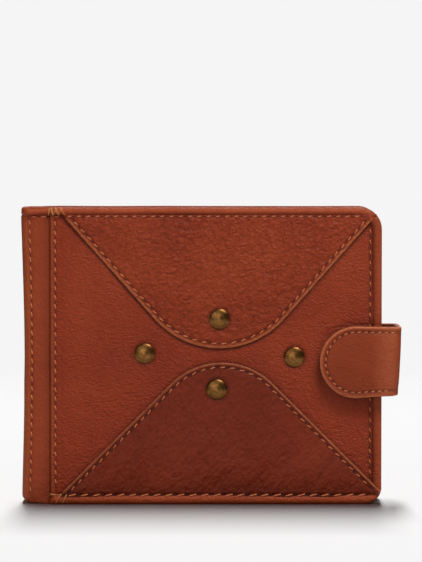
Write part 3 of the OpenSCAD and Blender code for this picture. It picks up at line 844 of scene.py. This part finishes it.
SPINE_MARK = WING - SPINE_SEAM
HALF = spine_len / 2
LAP = 1.2  # the two bent halves of one leather overlap by this much each side of their split


def spine_height(s, z):
    """Spine leather over its length s: grooved along its seams and beaded at the top."""
    e = np.minimum(s, spine_len - s)
    d = np.abs(e - SPINE_MARK)
    h = 0.28 * (1 - bell(d, 2.2)) - 0.22 * bell(d, 0.55)
    h = h + 0.08 * vnoise(s, z, 9, 21) + 0.3 * smooth(5.5, 2.2, e) - 0.3 * smooth(1.6, 1.1, e)
    h = h + bead(z, H - 1.3, 1.15, 0.75) * smooth(WING - SR - 0.5, WING - SR + 2.0, e)
    h = h - 0.22 * bell(z - (H - 2.5), 0.3)
    return h


def spine_shade(s, z):
    # Painted shade along the spine's seam, under its top bead and in the groove by the lip, darkening gradually towards
    # that groove.
    e = np.minimum(s, spine_len - s)
    v = np.maximum(0.3 * bell(e - SPINE_MARK, 0.55), 0.5 * smooth(1.4, 1.15, e))
    v = np.maximum(v, 0.4 * bell(z - (H - 2.5), 0.3))
    return np.maximum(v, 0.36 * smooth(5.0, 1.2, e) ** 1.4)


def spine_half(label, a, b, bodies, over, radii, lining, nodes, **fold):
    """One half of the spine's leather and lining, bent over one fold."""
    half_height = lambda s, z: spine_height(s, z) + over * smooth(LAP + 2.0, LAP + 0.5, np.abs(s - HALF))
    o = plate(f"spine_leather_{label}", rounded(a, b, 0, H, radii), MAT["spine"], half_height, 1.0,
              round_r=0.4, step=0.8, ring=0.35, warp=spine_warp, edge=0.35, shade=spine_shade,
              keep=lambda s, z: smooth(LAP + 0.6, LAP + 2.0, np.abs(s - HALF)),
              pale=lambda s, z: 0.3 * smooth(SPINE_MARK + 0.2, SPINE_MARK + 1.0, np.minimum(s, spine_len - s)))
    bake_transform(o)
    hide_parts(f"{label}_spine_wing", *nodes)
    o = plate(f"spine_lining_{label}", rounded(*lining, LEAF_IN, H - LEAF_IN, (0.3,) * 4), MAT["lining"],
              lambda s, z: -1.05 + 0 * s, 1.35, round_r=0.1, step=1.2, ring=0.6, warp=spine_warp, back_round=0.05)
    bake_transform(o)
    return o


o = spine_half("front", 0.0, HALF + LAP, ("spine", "front_leaf"), 0.05, (1.2, 0.2, 0.2, 0.8), (1.0, HALF + LAP),
               ["spine_panel"], start=world_at(0, SY0 + FOLD), end=world_at(FOLD, SY0))
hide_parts("spine_lining")
spine_half("back", HALF - LAP, spine_len, ("back_leaf", "spine"), 0.0, (0.2, 1.2, 0.8, 0.2),
           (HALF - LAP, spine_len - 1), [], start=world_at(FOLD, SY1), end=world_at(0, SY1 - FOLD))


def sew_spine(name, s, z, body, out=-1.0, **kw):
    v = spine_warp(np.stack([s, -spine_height(s, z), z], 1))
    sew(name, v, np.tile([0, out, 0], (len(z), 1)), body, **kw)


seam_z = np.linspace(H - 2.9, 2.2, 170)
sew_spine("spine_stitches_front", np.full_like(seam_z, SPINE_MARK), seam_z, "front_leaf", slant=0.22)
sew_spine("spine_stitches_back", np.full_like(seam_z, spine_len - SPINE_MARK), seam_z, "back_leaf", 1.0, slant=0.22)


def edge_roll(name, body, p, y, r_in, r_out, tint, sign):
    """Turned leather edge: ellipses along an outer line in (x, z), sunk half into the leaf behind it."""
    sides = 18
    t = np.gradient(p, axis=0)
    t /= np.hypot(t[:, 0], t[:, 1])[:, None]
    nrm = np.stack([-t[:, 1], t[:, 0]], 1)
    v, f, cut, dark = [], [], [], []
    for k in range(len(p)):
        for q in range(sides):
            w = 2 * math.pi * q / sides
            c = p[k] - nrm[k] * r_in[k] * (1 - math.sin(w))
            v.append((c[0], y[k] - sign * r_out[k] * math.cos(w), c[1]))
            # the outer side of the roll takes a little of the pale edge colour; its inner side gets painted shade in
            # the crease, plus the caller's tint
            cut.append(0.2 * max(0.0, math.sin(w + 0.4)))
            dark.append(0.5 * max(0.0, -math.sin(w)) ** 2 + tint[k])
    for k in range(len(p) - 1):
        for q in range(sides):
            b = (q + 1) % sides
            f.append((k * sides + q, (k + 1) * sides + q, (k + 1) * sides + b, k * sides + b)[::sign])
    f.append(tuple(range(sides))[::sign])
    f.append(tuple((len(p) - 1) * sides + q for q in range(sides))[::-sign])
    o = new_object(name, v, f, MAT["roll"], cut, dark)
    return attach(o, body)


def top_roll(label, body, face, sign, z0):
    """Turned top edge across the spine wing and the cover, round the corner and down the opening side."""
    r = CORNER_TOP
    line = [(x, z0) for x in np.arange(0.75, W - r, 0.55)]
    line += [(W - r + r * math.sin(q), z0 - r + r * math.cos(q)) for q in np.linspace(0, math.pi / 2, 14)]
    line += [(W, z) for z in np.arange(z0 - r - 0.8, 4.0, -0.8)]
    p = np.array(line)
    x, z = p[:, 0], p[:, 1]
    s = path_length(p)
    turn = smooth(W - r - 4, W - r + 7, s)
    lift = 0.85 * smooth(BAND - 3, BAND + 4, x)
    y = np.where(x < SR, SR - np.sqrt(np.clip(SR ** 2 - (SR - x) ** 2, 0, None)), 0) + 1.0 - lift
    fade = (smooth(0.2, 1.6, x) * 0.75 + 0.25) * (0.4 + 0.6 * smooth(4.0, 7.0, z))
    r_out = (1.1 + 0.06 * vnoise(s, 0 * s, 6, 31) - 0.3 * turn) * fade
    r_in = (1.1 + 0.05 * vnoise(s, 0 * s, 9, 32) + 0.45 * turn) * np.maximum(fade, 0.6)
    p[:, 1] -= (0.4 * (1 - smooth(0, 9, x)) - 0.08 * vnoise(s, 0 * s, 16, 33)) * (z > z0 - 0.01)
    edge_roll(f"top_roll_leather_{label}", body, p, face + sign * (y - 0.1 + 0.15 * turn), r_in, r_out,
              0.27 * turn + (0.3 if sign < 0 else 0), sign)


top_roll("front", "front_leaf", 0.0, 1, H - 0.25)
top_roll("back", "back_leaf", D, -1, H + 0.1)


def bottom_roll(label, body, face, sign):
    """Turned bottom edge, fuller than the top one."""
    r = CORNER_LOW
    line = [(W, z) for z in np.arange(6.0, r, -0.5)]
    line += [(W - r + r * math.cos(q), r - r * math.sin(q)) for q in np.linspace(0, math.pi / 2, 12)]
    line += [(x, 0) for x in np.arange(W - r - 0.55, BAND - 0.5, -0.55)]
    p = np.array(line) + [0.0, 0.02]
    x = p[:, 0]
    s = path_length(p)
    grow = smooth(0, 9, s)
    end = 0.55 + 0.45 * smooth(BAND - 0.6, BAND + 1.2, x)
    r_in = (1.15 + 0.42 * grow + 0.05 * vnoise(s, 0 * s, 7, 35)) * end
    r_out = (0.45 + 0.85 * grow + 0.07 * vnoise(s, 0 * s, 4, 36)) * end
    edge_roll(f"bottom_roll_leather_{label}", body, p, face + sign * np.full(len(p), 0.1), r_in, r_out,
              0.12 * (1 - grow), sign)


bottom_roll("front", "front_leaf", 0.0, 1)
bottom_roll("back", "back_leaf", D, -1)
u = np.linspace(WING - 2.2, WING - BAND + 0.4, 60)
sew_spine("top_edge_stitches_spine", u, np.full_like(u, TOP_SEAM - 0.15), "front_leaf", slant=0.1, r=0.17)
sew_front("top_edge_stitches_lip", line_pts(BAND + 0.2, TOP_SEAM - 0.1, BAND + 4.6, TOP_SEAM - 0.1), cover_height,
          slant=0.1, r=0.17)


def tack(name, spans, centre_y, centre_z, ry, rz):
    """Bar tack: short slanted threads wrapped over a rolled edge. A span gives the thread's two ends in x from the
    spine band, its two angles round the roll in degrees, and how far it lifts off the roll."""
    v, f = [], []
    rows, sides, radius, twist = 9, 7, 0.31, 0.5
    for x0, x1, a0, a1, lift in spans:
        f += tube_faces(rows, sides, len(v))
        for q in np.arange(rows) / (rows - 1):
            t = math.radians(a0 + (a1 - a0) * q)
            c = np.array([BAND + x0 + (x1 - x0) * q, centre_y - (ry + lift) * math.cos(t),
                          centre_z + (rz + lift) * math.sin(t)])
            n = np.array([0, -math.cos(t), math.sin(t)])
            side = np.array([math.cos(twist), math.sin(twist) * math.sin(t), math.sin(twist) * math.cos(t)])
            v += [c + radius * (n * math.cos(w) + side * math.sin(w)) for w in np.arange(sides) * 2 * math.pi / sides]
    fit(new_object(name, v, f, MAT["tack"]), "front_leaf", "thread")


tack("top_tack_threads",
     [(-0.4, -0.2, -62, 58, 0.02), (1.0, 0.2, -50, 62, 0.06), (1.0, 2.2, -58, 50, 0.1), (2.8, 1.5, -55, 62, 0.14),
      (2.5, 4.0, -36, 44, 0.08), (5.0, 3.2, -58, 56, 0.1)], 0.4, H - 1.35, 1.1, 1.12)
tack("bottom_tack_threads",
     [(3.4, 1.6, 58, -46, 0.1), (5.2, 3.9, 62, -40, 0.12), (-0.2, 1.9, 66, 56, 0.16), (2.3, 4.4, 52, 66, 0.16),
      (0.6, 2.0, 30, 62, 0.06)], 0.1, 1.6, 1.3, 1.57)

# ---------------------------------------------------------------- strap
TR = 2.5
STRAP_FOLD = 3.4
strap_at, strap_len = bent_path(TAB_X, ROOT_X, STRAP_X, STRAP_F, STRAP_B, TR)
TAB_LEN = STRAP_X - TR - TAB_X
S_MID = TAB_LEN + math.pi * TR / 2 + (STRAP_B - STRAP_F - 2 * TR) / 2  # where the strap's two halves meet


def strap_warp(v):
    """Bends the strap; its side stands out, leans and narrows a little, as the photo's does."""
    x, y = strap_at(v[:, 0], -v[:, 1])
    lean = 1.15 * (Z_TOP - v[:, 2]) / STRAP_H * smooth(TAB_LEN - 9, TAB_LEN + 2, v[:, 0])
    away = smooth(strap_len - 12, strap_len - 26, v[:, 0])
    out = 0.85 * smooth(TAB_LEN - 8, TAB_LEN + 2, v[:, 0]) * away
    up, near = v[:, 2] - STRAP_Z, smooth(TAB_LEN - 15, TAB_LEN + 1, v[:, 0]) * away
    z = STRAP_Z + up * np.where(up > 0, 0.975 - 0.02 * near, 0.975 - 0.07 * near)
    return np.stack([x + out - lean * away, y, z], 1)


def tab_shape(inset, s_end):
    """Round-ended outline of the tab over its length."""
    r = STRAP_H / 2 - inset
    return arc(STRAP_H / 2, STRAP_Z, r, 90, 270, 40) + [(s_end, STRAP_Z - r), (s_end, STRAP_Z + r)]


TAB_SEAM_IN, SEAM_END = 1.8, TAB_LEN + 1.6
TAB_SEAM = np.array([(SEAM_END, Z_TOP - TAB_SEAM_IN),
                     *arc(STRAP_H / 2, STRAP_Z, STRAP_H / 2 - TAB_SEAM_IN, 90, 270, 40),
                     (SEAM_END, Z_LOW + TAB_SEAM_IN)])


def level_at_split(h, s, level):
    """Settle the two halves of the strap at slightly different levels where they overlap, so one lies on the other."""
    w = smooth(4.5, 1.8, np.abs(s - S_MID))
    return h * (1 - w) + level * w


def tab_height(s, z):
    d = seg_dist(s, z, TAB_SEAM)
    stud = np.hypot(s - (W - 10 - TAB_X), z - STRAP_Z)
    h = 0.3 * (1 - bell(d, 3.0)) - 0.24 * bell(d, 0.55)
    h = h + 0.11 * bell(stud, 4.2, 4) + 0.07 * vnoise(s, z, 7, 31) - 0.5 * smooth(12, 0, s)
    return level_at_split(h, s, 0.30)


def strap_piece(name, outline, material, height, back, bodies, slot, nodes, rounding, step=0.5, ring=0.4, **kw):
    """One bent leather of the strap, over one of its two folds."""
    o = plate(name, outline, material, height, back, round_r=rounding, step=step, ring=ring, warp=strap_warp, **kw)
    if "strap_tab" in bodies:
        fold = (STRAP_X, STRAP_F + STRAP_FOLD), (STRAP_X - STRAP_FOLD, STRAP_F)
    else:
        fold = (STRAP_X - STRAP_FOLD, STRAP_B), (STRAP_X, STRAP_B - STRAP_FOLD)
    world_at(*fold[0], 0.046)
    world_at(*fold[1], 0.046)
    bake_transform(o)
    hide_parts(*nodes)


def root_shape(inset):
    """Outline of the strap's sewn root; its leather has clipped corners."""
    low, high, end = Z_LOW + inset, Z_TOP - inset, strap_len - 1.5 * inset
    corners = [(end, low), (end, high)] if inset else [(end - 1, low), (end, low + 1), (end, high - 1), (end - 1, high)]
    return [(S_MID - LAP, low), *corners, (S_MID - LAP, high)]


def lining_extra(**kw):
    return dict(rounding=0.15, step=0.8, ring=0.5, edge=0.8, back_round=0.1, **kw)


keep_tab = lambda s, z: smooth(S_MID - 0.8, S_MID - 2.2, s)
keep_root = lambda s, z: smooth(S_MID + 0.8, S_MID + 2.2, s)
FRONT_FOLD, BACK_FOLD = ("strap_side", "strap_tab"), ("back_leaf", "strap_side")
# the tab's seam gets painted shade; its paler band near the fold is partly wear at the bend and partly a painted
# highlight
strap_piece("strap_tab_leather", tab_shape(0, S_MID + LAP), MAT["strap"], tab_height, 0.95, FRONT_FOLD, "leather_brown",
            ("strap_tab", "strap_tab_seam", "strap_side"), 0.5, edge=0.9, shade=groove_shade([TAB_SEAM], 0.5, 0.5),
            keep=keep_tab,
            pale=lambda s, z: 0.24 * smooth(TAB_LEN - 7, TAB_LEN - 0.5, s) * smooth(TAB_LEN + 3, TAB_LEN, s))
strap_piece("strap_tab_lining_leather", tab_shape(-0.2, S_MID + LAP), MAT["inner"],
            lambda s, z: -1.0 - 0.5 * smooth(12, 0, s), 1.6, FRONT_FOLD, "leather_inner",
            ("strap_tab_lining", "strap_side_lining"), **lining_extra())
RS_X0, RS_X1, RS_IN = strap_len - 22.3, strap_len - 2, 2
RS = np.array([(RS_X0, Z_LOW + RS_IN), (RS_X1, Z_LOW + RS_IN), (RS_X1, Z_TOP - RS_IN), (RS_X0, Z_TOP - RS_IN),
               (RS_X0, Z_LOW + RS_IN)])


def root_height(s, z):
    d = seg_dist(s, z, RS)
    h = 0.25 * (1 - bell(d, 3.0)) - 0.22 * bell(d, 0.55) + 0.06 * vnoise(s, z, 7, 33)
    return level_at_split(h, s, 0.25)


# painted shade along the root's seam
strap_piece("strap_root_leather", root_shape(0), MAT["strap"], root_height, 0.95, BACK_FOLD, "leather_brown",
            ("strap_root", "strap_root_seam"), 0.35, edge=0.8, shade=groove_shade([RS], 0.55, 0.35), keep=keep_root)
strap_piece("strap_root_lining_leather", root_shape(0.2), MAT["inner"], lambda s, z: -0.95 + 0 * s, 1.55, BACK_FOLD,
            "leather_inner", ("strap_root_lining",), **lining_extra(keep=keep_root))


def strap_stitches(name, path, height, body, out):
    p = resample(path, 0.25, closed=False)
    v = strap_warp(np.stack([p[:, 0], -height(p[:, 0], p[:, 1]), p[:, 1]], 1))
    sew(name, v, np.tile([0, out, 0], (len(p), 1)), body, slant=0.16, r=0.19, pitch=2.15, length=1.45)


strap_stitches("strap_tab_stitches", TAB_SEAM, tab_height, "strap_tab", -1.0)
strap_stitches("strap_root_stitches", RS, root_height, "back_leaf", 1.0)

# ---------------------------------------------------------------- back cover
flip_pt = lambda v: np.stack([v[:, 0], D - v[:, 1], v[:, 2]], 1)


def flipped(o):
    """Turns a front-side plate to the back and keeps its faces pointing out."""
    me = o.data
    v = np.array([p.co for p in me.vertices], float)
    mm = flip_pt(v / MM - [X0, Y0, 0])
    me.vertices.foreach_set("co", ((mm + [X0, Y0, 0]) * MM).astype(np.float32).ravel())
    me.attributes["rest"].data.foreach_set("vector", (mm + [0, 0, 37]).astype(np.float32).ravel())
    me.flip_normals()
    me.update()
    return o


back_h = lambda x, z: cover_height(x, z, False)
# painted shade along the back cover's seams
back_shade = groove_shade([straight(RIGHT_SEAM, 5, RIGHT_SEAM, H - 5), straight(LIP_SEAM, 2, LIP_SEAM, H - 3),
                           straight(13, TOP_SEAM, W - 5, TOP_SEAM),
                           straight(13, LOW_SEAM + 0.4, W - 5, LOW_SEAM + 0.4)])
o = flipped(plate("back_cover_leather", cover_outline, MAT["main"], back_h, 2.0,
                  round_r=0.9, step=1.0, ring=0.8, edge=0.25,
                  shade=back_shade))
fit(o, "back_leaf", "leather_brown", "back_cover", "back_seams")
for label, ends in (("top", (13.5, TOP_SEAM, W - 5.5, TOP_SEAM)),
                    ("bottom", (13.5, LOW_SEAM + 0.4, W - 5.5, LOW_SEAM + 0.4)),
                    ("left", (LIP_SEAM, H - 3.2, LIP_SEAM, 3.2)),
                    ("right_upper", (RIGHT_SEAM, H - 5.5, RIGHT_SEAM, Z_TOP + 0.6)),
                    ("right_lower", (RIGHT_SEAM, Z_LOW - 0.6, RIGHT_SEAM, 7.8))):
    pts, nrm = on_front(line_pts(*ends), back_h)
    sew(f"back_{label}_stitches", flip_pt(pts), -nrm, "back_leaf", slant=0.07)

# ---------------------------------------------------------------- inner layers
def sheet_piece(name, node, x1, z1, ys, material, body, slot, corners, edge=0.7):
    """Thin inner layer between the depths in ys."""
    y0, y1 = ys
    rim = min(0.2, (y1 - y0) * 0.4)
    wav = lambda x, z: -y0 + 0.03 * vnoise(x, z, 16, 5)
    o = plate(name, rounded(LEAF_X, x1, LEAF_IN, z1, corners), material, wav, lambda x, z: -wav(x, z) + (y1 - y0),
              round_r=rim, step=1.4, ring=2.5, edge=edge, back_round=rim)
    fit(o, body, slot, *([node] if node else []))


SLOT_TOP, SLOT_STEP, SHEET_T = 0.84 * H, 0.13 * H, 0.5
for side, body, count in (("front", "front_leaf", 2), ("back", "back_leaf", 3)):
    full = (0.5, CORNER_LOW, CORNER_TOP, 0.5)
    sheet_piece(f"{side}_lining_cloth", f"{side}_lining", W - 0.5, H - LEAF_IN, span(f"{side}_lining", 1),
                MAT["lining"], body, "woven_lining", full, 0)
    sheet_piece(f"{side}_divider_leather", f"{side}_divider", W - 0.4, H - LEAF_IN, span(f"{side}_divider", 1),
                MAT["inner"], body, "leather_inner", full)
    first, last = span(f"{side}_slot_sheets", 1)
    pitch = (last - first - SHEET_T) / (count - 1)
    starts = [first + k * pitch for k in range(count)]
    for k, a in enumerate(starts if side == "front" else starts[::-1]):
        sheet_piece(f"{side}_card_slot_{k + 1}", f"{side}_slot_sheets" if k == 0 else "", W - 0.4,
                    SLOT_TOP - k * SLOT_STEP, (a, a + SHEET_T), MAT["inner"], body, "leather_inner",
                    (0.5, CORNER_LOW, 0.6, 0.5))

# ---------------------------------------------------------------- flap
fx0, fx1 = span("flap_window_frame", 0)
fy0, fy1 = span("flap_window_frame", 1)
fz0, fz1 = span("flap_window_frame", 2)
FLAP_CORNERS = (4, 0.8, 0.8, 4)
FRAME_W = 7


def frame_piece():
    """Leather frame round the window with rounded corners and a turned inner edge."""
    outer = resample(rounded(fx0, fx1, fz0, fz1, FLAP_CORNERS), 0.8)
    opening = resample(rounded(fx0 + FRAME_W, fx1 - FRAME_W, fz0 + FRAME_W, fz1 - FRAME_W, (3,) * 4), 0.2)
    direction = lambda p: np.arctan2(*(p - outer.mean(0)).T[::-1])
    turn = direction(opening)
    inner = opening[[int(np.argmin(np.abs(np.angle(np.exp(1j * (turn - w)))))) for w in direction(outer)]]
    n = len(outer)
    # share of the way from the outer edge to the inner one, depth, and how pale the edge is worn
    profile = [(0, fy1 - 0.05, 0.8), (0, fy0 + 0.25, 0.8), (0.03, fy0 + 0.05, 0.2), (0.12, fy0, 0),
               (0.22, fy0 + 0.1, 0), (0.3, fy0 - 0.02, 0), (0.6, fy0 - 0.05, 0), (0.85, fy0, 0),
               (0.97, fy0 + 0.12, 0.2), (1.0, fy0 + 0.35, 0.8), (1.0, fy1 - 0.05, 0.8)]
    v, cut = [], []
    for t, y, worn in profile:
        v += [(a, y, b) for a, b in outer + (inner - outer) * t]
        cut += [worn] * n
    faces = tube_faces(len(profile), n, closed=True, caps=False)
    return new_object("flap_window_frame_leather", v, faces, MAT["inner"], cut, [0] * len(v))


fit(frame_piece(), "inner_flap", "leather_inner", "flap_window_frame", "flap_seams")
path = np.array(rounded(fx0 + 1.7, fx1 - 1.7, fz0 + 1.7, fz1 - 1.7, (3, 1, 1, 3)))
p = resample(np.vstack([path, path[:1]]), 0.3, closed=False)
pts = np.stack([p[:, 0], np.full(len(p), fy0 + 0.04), p[:, 1]], 1)
sew("flap_stitches", pts, np.tile([0, -1.0, 0], (len(p), 1)), "inner_flap", r=0.2, lift=0.08, pitch=2.6, length=1.9)
wy0, wy1 = span("flap_window", 1)
o = plate("flap_window_film", rounded(*span("flap_window", 0), fz0 + 1.5, fz1 - 1.5, (1,) * 4), MAT["window"],
          lambda x, z: -wy0 + 0.05 * vnoise(x, z, 20, 6), wy1, round_r=0.08, step=1.5, ring=3, back_round=0.05)
fit(o, "inner_flap", "clear_window", "flap_window")
by0, by1 = span("flap_base", 1)
BASE_T = 0.7
o = plate("flap_base_leather", rounded(fx0, fx1 + 0.6, fz0, fz1, FLAP_CORNERS), MAT["inner"],
          lambda x, z: BASE_T - by1 + 0 * x, lambda x, z: by1 + 0.03 * vnoise(x, z, 15, 12),
          round_r=0.2, step=1.2, ring=2.0, edge=0.7, back_round=0.2)
fit(o, "inner_flap", "leather_inner", "flap_base")


def hinge_roll():
    """Rolled leather along the flap's hinge line."""
    seg, rows = 22, 40
    r = (by1 - by0) / 2
    cx = span("flap_base", 0)[1] - r
    v = []
    for k, z in enumerate(np.linspace(fz0, fz1, rows)):
        q = r * (0.9 if k in (0, rows - 1) else 1.0) * (1 + 0.02 * math.sin(z * 0.9))
        v += [(cx + q * math.cos(t), (by0 + by1) / 2 + q * math.sin(t), z) for t in np.arange(seg) * 2 * math.pi / seg]
    return new_object("flap_hinge_roll", v, tube_faces(rows, seg), MAT["inner"], [0] * len(v), [0] * len(v))


fit(hinge_roll(), "inner_flap", "leather_inner")

# CAD pieces that stay visible
for material, nodes in (("inner_cad", ("front_note_edging", "front_slot_edging", "back_note_edging", "back_slot_edging",
                                       "flap_edging", "flap_hinge_strip")),
                        ("board", ("front_board", "back_board")),
                        ("snap", ("rivet_backs", "snap_stud", "snap_stud_back", "snap_socket", "snap_socket_plate"))):
    for ob in bpy.context.scene.objects:
        if ob.type == "MESH" and ob.name in nodes:
            ob.data.materials.clear()
            ob.data.materials.append(MAT[material])

# ---------------------------------------------------------------- stage, light and camera
def disc(radius):
    """Floor with finer rings near the middle."""
    rings, seg = 40, 96
    turns = [2 * math.pi * a / seg for a in range(seg)]
    v = [(0, 0, 0)]
    for k in range(1, rings + 1):
        r = radius * (k / rings) ** 1.6
        v += [(r * math.cos(t), r * math.sin(t), 0) for t in turns]
    f = [(0, 1 + a, 1 + (a + 1) % seg) for a in range(seg)]
    f += tube_faces(rings, seg, base=1, caps=False, flip=True)
    me = bpy.data.meshes.new("floor")
    me.from_pydata(v, [], f)
    o = bpy.data.objects.new("floor", me)
    bpy.context.scene.collection.objects.link(o)
    return o


def floor_material():
    """Pale matt floor that fades into the background with its distance from the middle."""
    m = bpy.data.materials.new("floor_pale")
    m.use_nodes = True
    t = m.node_tree
    b = t.nodes["Principled BSDF"]
    b.inputs["Base Color"].default_value = (0.86, 0.86, 0.86, 1)
    b.inputs["Roughness"].default_value = 1.0
    b.inputs["Specular IOR Level"].default_value = 0.0
    place = t.nodes.new("ShaderNodeNewGeometry")
    away = t.nodes.new("ShaderNodeVectorMath")
    away.operation = "LENGTH"
    fade = t.nodes.new("ShaderNodeMapRange")
    fade.interpolation_type = "SMOOTHSTEP"
    for name, v in (("From Min", 0.30), ("From Max", 0.62), ("To Min", 1.0), ("To Max", 0.0)):
        fade.inputs[name].default_value = v
    t.links.new(place.outputs["Position"], away.inputs[0])
    t.links.new(away.outputs["Value"], fade.inputs["Value"])
    t.links.new(fade.outputs["Result"], b.inputs["Alpha"])
    return m


floor = disc(1.6)
floor.data.materials.append(floor_material())

# The camera sees one even pale tone; the wallet is lit by a dim sky that is brighter above.
PALE = 0.913
world = bpy.data.worlds.new("studio")
bpy.context.scene.world = world
world.use_nodes = True
wt = world.node_tree
seen = wt.nodes["Background"]
seen.inputs["Color"].default_value = (PALE, PALE, PALE, 1)
seen.inputs["Strength"].default_value = 1.0
sky, coord, sep, ramp, ray, mixer = (wt.nodes.new("ShaderNode" + kind) for kind in (
    "Background", "TexCoord", "SeparateXYZ", "ValToRGB", "LightPath", "MixShader"))
for element, (position, grey) in zip(ramp.color_ramp.elements, ((0.0, 0.03), (0.9, 0.10))):
    element.position, element.color = position, (grey, grey, grey, 1)
for a, b in ((coord.outputs["Generated"], sep.inputs[0]), (sep.outputs["Z"], ramp.inputs["Fac"]),
             (ramp.outputs["Color"], sky.inputs["Color"]), (ray.outputs["Is Camera Ray"], mixer.inputs[0]),
             (sky.outputs[0], mixer.inputs[1]), (seen.outputs[0], mixer.inputs[2]),
             (mixer.outputs[0], wt.nodes["World Output"].inputs["Surface"])):
    wt.links.new(a, b)


def softbox(name, loc, target, size, power):
    lamp = bpy.data.lights.new(name, "AREA")
    lamp.shape, lamp.size, lamp.size_y, lamp.energy = "RECTANGLE", *size, power
    o = bpy.data.objects.new(name, lamp)
    bpy.context.scene.collection.objects.link(o)
    o.location = loc
    o.rotation_mode = "QUATERNION"
    o.rotation_quaternion = (Vector(target) - Vector(loc)).to_track_quat("-Z", "Y")
    return o


rake = softbox("top_box", (0.30, -0.40, 0.84), (0, 0, 0.04), (0.34, 0.28), 7.9)
fill = softbox("front_box", (-0.35, -1.2, 0.45), (0, 0, 0.05), (0.9, 0.7), 3.9)
rear = softbox("rear_box", (0.1, 1.1, 0.7), (0, 0, 0.05), (0.8, 0.6), 5.6)
SUN_FAR, SUN_UP = 12, math.radians(68.5)
sun = softbox("floor_light", (0, SUN_FAR * math.cos(SUN_UP), SUN_FAR * math.sin(SUN_UP)), (0, 0, 0), (1.4, 8.7), 1670.0)
# the wallet's lamps light only the wallet, and the far one lights only the floor
lit = bpy.data.collections.new("wallet_lights")
ground = bpy.data.collections.new("floor_lights")
ground.objects.link(floor)
for ob in bpy.context.scene.objects:
    if ob.type == "MESH" and ob is not floor:
        lit.objects.link(ob)
for lamp in (rake, fill, rear):
    lamp.light_linking.receiver_collection = lit
sun.light_linking.receiver_collection = ground

cam = bpy.data.cameras.new("camera")
cam.lens, cam.sensor_width, cam.sensor_fit = 200, 36, "AUTO"
co = bpy.data.objects.new("camera", cam)
bpy.context.scene.collection.objects.link(co)
bpy.context.scene.camera = co
elev = math.radians(2.6)
look = Vector(((CAD_LO.x + CAD_HI.x) / 2, cover_lo.y, H * MM / 2 + 0.0240))
back = Vector((0, -math.cos(elev), math.sin(elev)))
co.location = look + back * 0.995
co.rotation_mode = "QUATERNION"
co.rotation_quaternion = (-back).to_track_quat("-Z", "Y")
cam.clip_start, cam.clip_end = 0.01, 20
bpy.context.scene.view_settings.view_transform = "Standard"
